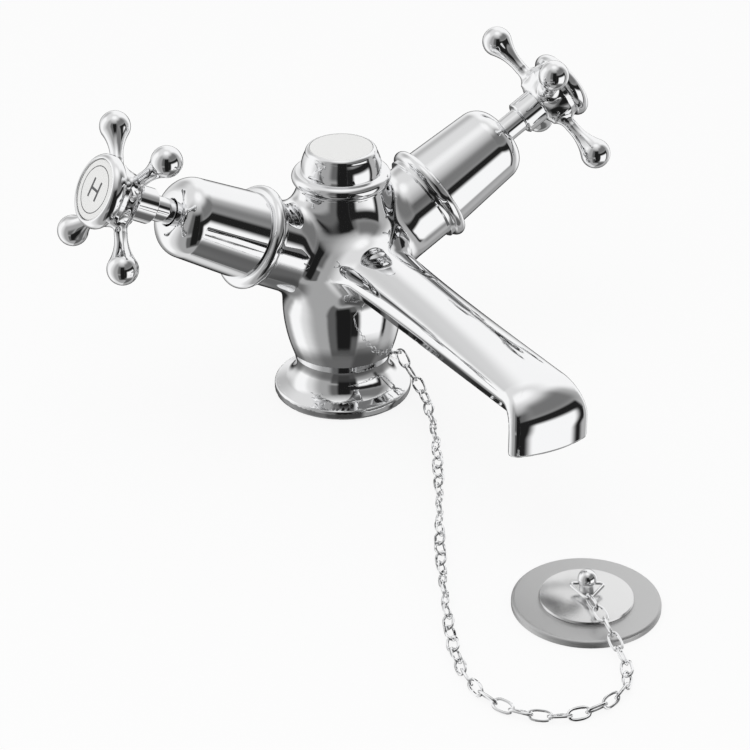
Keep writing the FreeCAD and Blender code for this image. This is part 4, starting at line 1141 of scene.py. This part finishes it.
@dataclass
class Chain:
    """The link chain from the stay on the column, over the deck, to the plug's shackle."""

    # From the stay to the plug, in metres
    ROUTE = (
        (0.018599, -0.010929, 0.015565), (0.0192, -0.0156, 0.0104), (0.021, -0.0228, 0.0056),
        (0.018, -0.035, 0.0023), (0.0094, -0.054, 0.00175), (-0.0006, -0.0726, 0.00175),
        (-0.0107, -0.0903, 0.00175), (-0.0203, -0.1066, 0.00175), (-0.0284, -0.1208, 0.00175),
        (-0.0356, -0.1346, 0.00175), (-0.0432, -0.1496, 0.00175), (-0.0506, -0.165, 0.00175),
        (-0.0562, -0.1795, 0.00175), (-0.0585, -0.1935, 0.00175), (-0.0543, -0.207, 0.00175),
        (-0.0445, -0.2168, 0.00175), (-0.0315, -0.2202, 0.00175), (-0.0186, -0.2172, 0.00175),
        (-0.0104, -0.209, 0.00175), (-0.0078, -0.2006, 0.0023), (-0.0064, -0.193, 0.0047),
        (-0.005, -0.186, 0.0067), (-0.0042, -0.1802, 0.0076), (-0.003557, -0.173718, 0.007556),
    )
    links: int = 49
    tail_links: int = 7
    end_links: int = 2
    wire: float = 0.95
    length: float = 8.2
    width: float = 4.6
    fullness: float = 2.5
    roll: float = 45.0
    roll_stray: float = 20.0
    stray_step: float = 2.4
    twist_links: int = 6
    oval_steps: int = 28
    wire_steps: int = 8

    def line(self) -> Points:
        """The chain's line, read from a smooth spline through its route.

        Returns:
            Points in millimetres.
        """
        curve = bpy.data.curves.new("chain_line", "CURVE")
        curve.dimensions = "3D"
        curve.resolution_u = 32
        spline = curve.splines.new("NURBS")
        spline.points.add(len(self.ROUTE) - 1)
        spline.points.foreach_set("co", np.column_stack([self.ROUTE, np.ones(len(self.ROUTE))]).ravel())
        spline.order_u = 3
        spline.use_endpoint_u = True
        return read_curve(curve)[0] / MM

    def link(self) -> tuple[Points, np.ndarray]:
        """One oval link: a round wire carried round a full oval, its length along X.

        The oval is where |x / a|^n + |y / b|^n = 1. At each of its points the wire's circle lies
        in the plane of the outward normal and Z.

        Returns:
            The points and the quads.
        """
        reach = np.array([self.length - self.wire, self.width - self.wire]) / 2.0
        angles = full_turn(self.oval_steps)
        unit = np.column_stack([np.cos(angles), np.sin(angles)])
        oval = np.sign(unit) * np.abs(unit) ** (2.0 / self.fullness) * reach
        facing = np.sign(unit) * np.abs(unit) ** (2.0 - 2.0 / self.fullness) / reach
        facing /= np.linalg.norm(facing, axis=1, keepdims=True)
        centre, normal = (np.column_stack([flat, np.zeros(len(flat))]) for flat in (oval, facing))
        around = full_turn(self.wire_steps)
        across = np.cos(around)[None, :, None] * normal[:, None, :]
        lift = np.sin(around)[None, :, None] * np.array([0.0, 0.0, 1.0])
        points = centre[:, None, :] + (across + lift) * self.wire / 2.0
        numbers = np.arange(points.shape[0] * points.shape[1]).reshape(points.shape[:2])
        return points.reshape(-1, 3), net(numbers).reshape(-1, 4)

    def build(self) -> None:
        line = self.line()
        lengths = np.concatenate([[0.0], np.cumsum(np.linalg.norm(np.diff(line, axis=0), axis=1))])
        stations = np.linspace(0.0, lengths[-1], self.links + 1)
        places = np.column_stack([np.interp(stations, lengths, line[:, axis]) for axis in range(3)])
        along = np.diff(places, axis=0)
        along /= np.linalg.norm(along, axis=1, keepdims=True)
        side = np.cross([0.0, 0.0, 1.0], along)
        side /= np.linalg.norm(side, axis=1, keepdims=True)
        lift = np.cross(along, side)
        index = np.arange(self.links)
        share = np.maximum(0, index + 1 - self.links + self.twist_links) / self.twist_links
        stray = self.roll_stray * np.sin(self.stray_step * index) * (1.0 - np.minimum(share, 1.0))
        roll = np.radians(self.roll + 90.0 * index + self.roll * share + stray)[:, None]
        across = side * np.cos(roll) + lift * np.sin(roll)
        axes = np.stack([along, across, np.cross(along, across)], axis=1)
        shape, quads = self.link()
        middles = (places[:-1] + places[1:]) / 2.0
        half_height = (self.width - self.wire) / 2.0 * np.abs(np.sin(roll[:, 0])) + self.wire / 2.0
        middles[:, 2] += np.maximum(half_height - middles[:, 2], 0.0)
        points = np.einsum("pa,lad->lpd", shape, axes) + middles[:, None, :]
        tail, end = self.links - self.tail_links - self.end_links, self.links - self.end_links
        main = self.stretch("chain_deck_run", points[:tail], quads, "mixer", "chain_main")
        rising = self.stretch("chain_rising_run", points[tail:end], quads, None, "chain_tail")
        last = self.stretch("chain_last_links", points[end:], quads, None, "chain_end")
        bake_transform(rising)
        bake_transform(last)
        LOG.info("chain: %.0f mm along its line", lengths[-1])

    def stretch(
        self, name: str, points: Points, quads: np.ndarray, body: str | None, node: str
    ) -> bpy.types.Object:
        """One stretch of links as a piece.

        Args:
            name: The piece's name.
            points: The links' points, one block a link.
            quads: One link's faces.
            body: The body it rides on, or None.
            node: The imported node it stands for.

        Returns:
            The piece.
        """
        starts = np.arange(len(points))[:, None, None] * points.shape[1]
        faces = (quads[None] + starts).reshape(-1, 4).tolist()
        return add_piece(name, points.reshape(-1, 3), faces, Slot.CHROME, body, [node])


@dataclass(frozen=True)
class Card:
    """A panel of the studio: its bearings and heights in degrees, its shade and its soft edge."""

    bearing: Pair
    height: Pair
    shade: float
    edge: float

    def paint(self, wiring: Wiring, bearing: Socket, height: Socket, level: Feed) -> Socket:
        """Paints the card over the studio: full inside its limits, soft at its edges.

        Args:
            wiring: The world's nodes.
            bearing: The ray's bearing from the camera.
            height: The ray's height.
            level: The studio's level so far.

        Returns:
            The studio's level with the card in it.
        """
        covers = []
        for angle, limits in ((bearing, self.bearing), (height, self.height)):
            middle, half = sum(limits) / 2.0, (limits[1] - limits[0]) / 2.0
            offset = wiring.calc("SUBTRACT", angle, math.radians(middle))
            away = wiring.calc("ABSOLUTE", wiring.calc("WRAP", offset, math.pi, -math.pi))
            ends = (math.radians(half - self.edge), math.radians(half + self.edge))
            covers.append(wiring.fade(away, ends))
        cover = wiring.calc("MULTIPLY", *covers)
        return wiring.add("Mix", {"Factor": cover, "A": level, "B": self.shade}).outputs["Result"]


@dataclass
class Studio:
    """White studio: cards that only metal reflects, a pale floor and the photograph's camera."""

    camera_place: Triple = (-0.4059, -0.7443, 0.4862)
    azimuth: float = -29.437
    elevation: float = 29.592
    focal_pixels: float = 2552.13
    clip_start: float = 0.01
    fill: float = 0.72
    key_power: float = 4.5
    key_place: Triple = (-0.5, -0.35, 1.2)
    key_size: float = 1.0
    floor_reach: float = 6.0
    floor_hole: float = 0.019
    floor_sides: int = 96
    floor_level: float = -0.0004
    floor_glow: float = 0.86
    floor_grey: float = 0.9
    # The dark round under the mixer is painted shade: the floor's shade there, seen only in the metal
    painted_shade_centre: Pair = (0.0, -0.004)
    painted_shade_rims: Pair = (0.00046, 0.046)
    painted_shade_fade: float = 2.0 / 3.0
    painted_shade_level: float = 0.06
    painted_shade_cover: float = 0.75
    base_shade: float = 0.76
    cards: tuple[Card, ...] = (
        Card((-66.0, 105.0), (-95.0, 60.0), 0.38, 16.0),
        Card((88.0, 124.0), (-95.0, 50.0), 0.45, 12.0),
        Card((28.0, 104.0), (20.0, 58.0), 0.18, 12.0),
        Card((-124.0, -88.0), (-58.0, 42.0), 1.0, 9.0),
        Card((-182.0, -126.0), (-62.0, -16.0), 0.34, 12.0),
        Card((-168.0, -130.0), (12.0, 38.0), 0.5, 12.0),
        Card((118.0, 190.0), (-95.0, -36.0), 0.34, 9.0),
        Card((122.0, 194.0), (-30.0, 62.0), 0.98, 12.0),
        Card((154.0, 206.0), (-54.0, -6.0), 0.02, 10.0),
        Card((30.0, 95.0), (-95.0, -46.0), 0.12, 9.0),
        Card((-31.0, 30.0), (-9.0, 44.0), 0.13, 8.0),
        Card((-29.0, 32.0), (-56.0, -17.0), 0.11, 4.0),
        Card((16.0, 94.0), (-38.0, 20.0), 0.015, 3.0),
        Card((34.0, 84.0), (-40.0, 3.0), 1.0, 5.0),
        Card((-12.0, 18.0), (-50.0, 40.0), 0.012, 4.0),
        Card((-180.0, 180.0), (76.0, 100.0), 1.0, 8.0),
    )

    def build(self) -> None:
        """Sets up the camera, the world, the floor, the painted shade under the mixer and the lamp."""
        scene = bpy.context.scene
        scene.view_settings.view_transform = "Standard"
        self.build_camera(scene)
        self.build_world(scene)
        self.build_floor()
        self.build_painted_shade()
        lamp = bpy.data.lights.new("softbox", "AREA")
        lamp.energy = self.key_power
        lamp.size = self.key_size
        holder = bpy.data.objects.new("softbox", lamp)
        holder.location = self.key_place
        holder.rotation_euler = Vector(self.key_place).to_track_quat("Z", "Y").to_euler()
        holder.visible_glossy = False
        scene.collection.objects.link(holder)

    def build_camera(self, scene: bpy.types.Scene) -> None:
        """Places the camera.

        Args:
            scene: The scene it shoots.
        """
        camera = bpy.data.cameras.new("photo_camera")
        camera.sensor_width = SENSOR
        camera.lens = self.focal_pixels / IMAGE_SIDE * SENSOR
        camera.clip_start = self.clip_start
        holder = bpy.data.objects.new("photo_camera", camera)
        holder.location = self.camera_place
        holder.rotation_euler = (math.radians(90.0 - self.elevation), 0.0, math.radians(self.azimuth))
        scene.collection.objects.link(holder)
        scene.camera = holder

    def build_world(self, scene: bpy.types.Scene) -> None:
        """White to the camera, the cards' studio in reflections, even light elsewhere.

        Args:
            scene: The scene that it lights.
        """
        world = bpy.data.worlds.new("studio")
        world.use_nodes = True
        scene.world = world
        world.node_tree.nodes.clear()
        wiring = Wiring(world.node_tree)
        heading = math.atan2(self.camera_place[1], self.camera_place[0])
        direction = wiring.add("TexCoord").outputs["Generated"]
        turn = wiring.add("Mapping", {"Vector": direction, "Rotation": (0.0, 0.0, -heading)})
        split = wiring.add("SeparateXYZ", {"Vector": turn.outputs["Vector"]}).outputs
        bearing = wiring.calc("ARCTAN2", split["Y"], split["X"])
        height = wiring.calc("ARCSINE", split["Z"])
        level: Feed = self.base_shade
        for card in self.cards:
            level = card.paint(wiring, bearing, height, level)
        room = wiring.add("Background", {"Color": level}).outputs[0]
        even = wiring.add("Background", {"Color": WHITE, "Strength": self.fill}).outputs[0]
        white = wiring.add("Background", {"Color": WHITE}).outputs[0]
        path = wiring.add("LightPath").outputs
        mirror = wiring.calc("MAXIMUM", path["Is Glossy Ray"], path["Is Transmission Ray"])
        seen = wiring.mixed(path["Is Camera Ray"], wiring.mixed(mirror, even, room), white)
        wiring.add("OutputWorld", {"Surface": seen})

    def lay_ring(
        self, name: str, paint: str, centre: Pair, rims: Pair, level: float
    ) -> tuple[bpy.types.Object, Wiring]:
        """Lays a flat ring on the stage: (rim cos v, rim sin v) about its centre, from rim to rim.

        Args:
            name: The ring's name.
            paint: Its material's name.
            centre: Its centre, in metres.
            rims: The radii of its inner and outer rims.
            level: Its height.

        Returns:
            The ring, and its material's nodes, none so far.
        """
        angles = full_turn(self.floor_sides)
        circle = np.column_stack([np.cos(angles), np.sin(angles), np.zeros(self.floor_sides)])
        points = np.array(rims)[:, None, None] * circle + [*centre, level]
        quads = net(np.arange(2 * self.floor_sides).reshape(2, -1))[0]
        mesh = bpy.data.meshes.new(name)
        mesh.from_pydata(points.reshape(-1, 3).tolist(), [], quads.tolist())
        coat = bpy.data.materials.new(paint)
        coat.use_nodes = True
        coat.node_tree.nodes.clear()
        mesh.materials.append(coat)
        ring = bpy.data.objects.new(name, mesh)
        bpy.context.scene.collection.objects.link(ring)
        return ring, Wiring(coat.node_tree)

    def build_floor(self) -> None:
        """Lays the pale floor round the waste's hole: near white, with a soft shadow."""
        rims = (self.floor_hole, self.floor_reach)
        floor, wiring = self.lay_ring("studio_floor", "pale_floor", WASTE_CENTRE, rims, self.floor_level)
        floor.visible_glossy = False
        grey = (self.floor_grey, self.floor_grey, self.floor_grey, 1.0)
        matt = wiring.add("BsdfDiffuse", {"Color": grey}).outputs[0]
        glow = wiring.add("Emission").outputs[0]
        share = wiring.calc("MULTIPLY", wiring.add("LightPath").outputs["Is Camera Ray"], self.floor_glow)
        wiring.add("OutputMaterial", {"Surface": wiring.mixed(share, matt, glow)})

    def build_painted_shade(self) -> None:
        """Lays painted shade under the mixer: a dark round, soft at its rim, that only the metal reflects.
        """
        shade, wiring = self.lay_ring(
            "studio_shade", "dark_shade", self.painted_shade_centre, self.painted_shade_rims, self.floor_level / 2.0
        )
        for kind in ("camera", "diffuse", "shadow", "transmission"):
            setattr(shade, f"visible_{kind}", False)
        # Painted shade: full to two thirds of its rim, fading to nil at the rim
        rim = self.painted_shade_rims[1]
        cover = wiring.fade(wiring.reach(self.painted_shade_centre), (rim * self.painted_shade_fade, rim), self.painted_shade_cover)
        clear = wiring.add("BsdfTransparent").outputs[0]
        dark = wiring.add("Emission", {"Strength": self.painted_shade_level}).outputs[0]
        wiring.add("OutputMaterial", {"Surface": wiring.mixed(cover, clear, dark)})


def main() -> None:
    """Builds the studio, then each sub-assembly over its nodes."""
    logging.basicConfig(level=logging.INFO, format="%(name)s %(message)s")
    Studio().build()
    dress_nodes()
    Chain().build()
    CastBody().build()
    TopCap().build()
    for side in Side:
        Valve(side).build()
        Handle(side).build()
    Plug().build()
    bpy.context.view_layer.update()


if __name__ == "__main__":
    main()
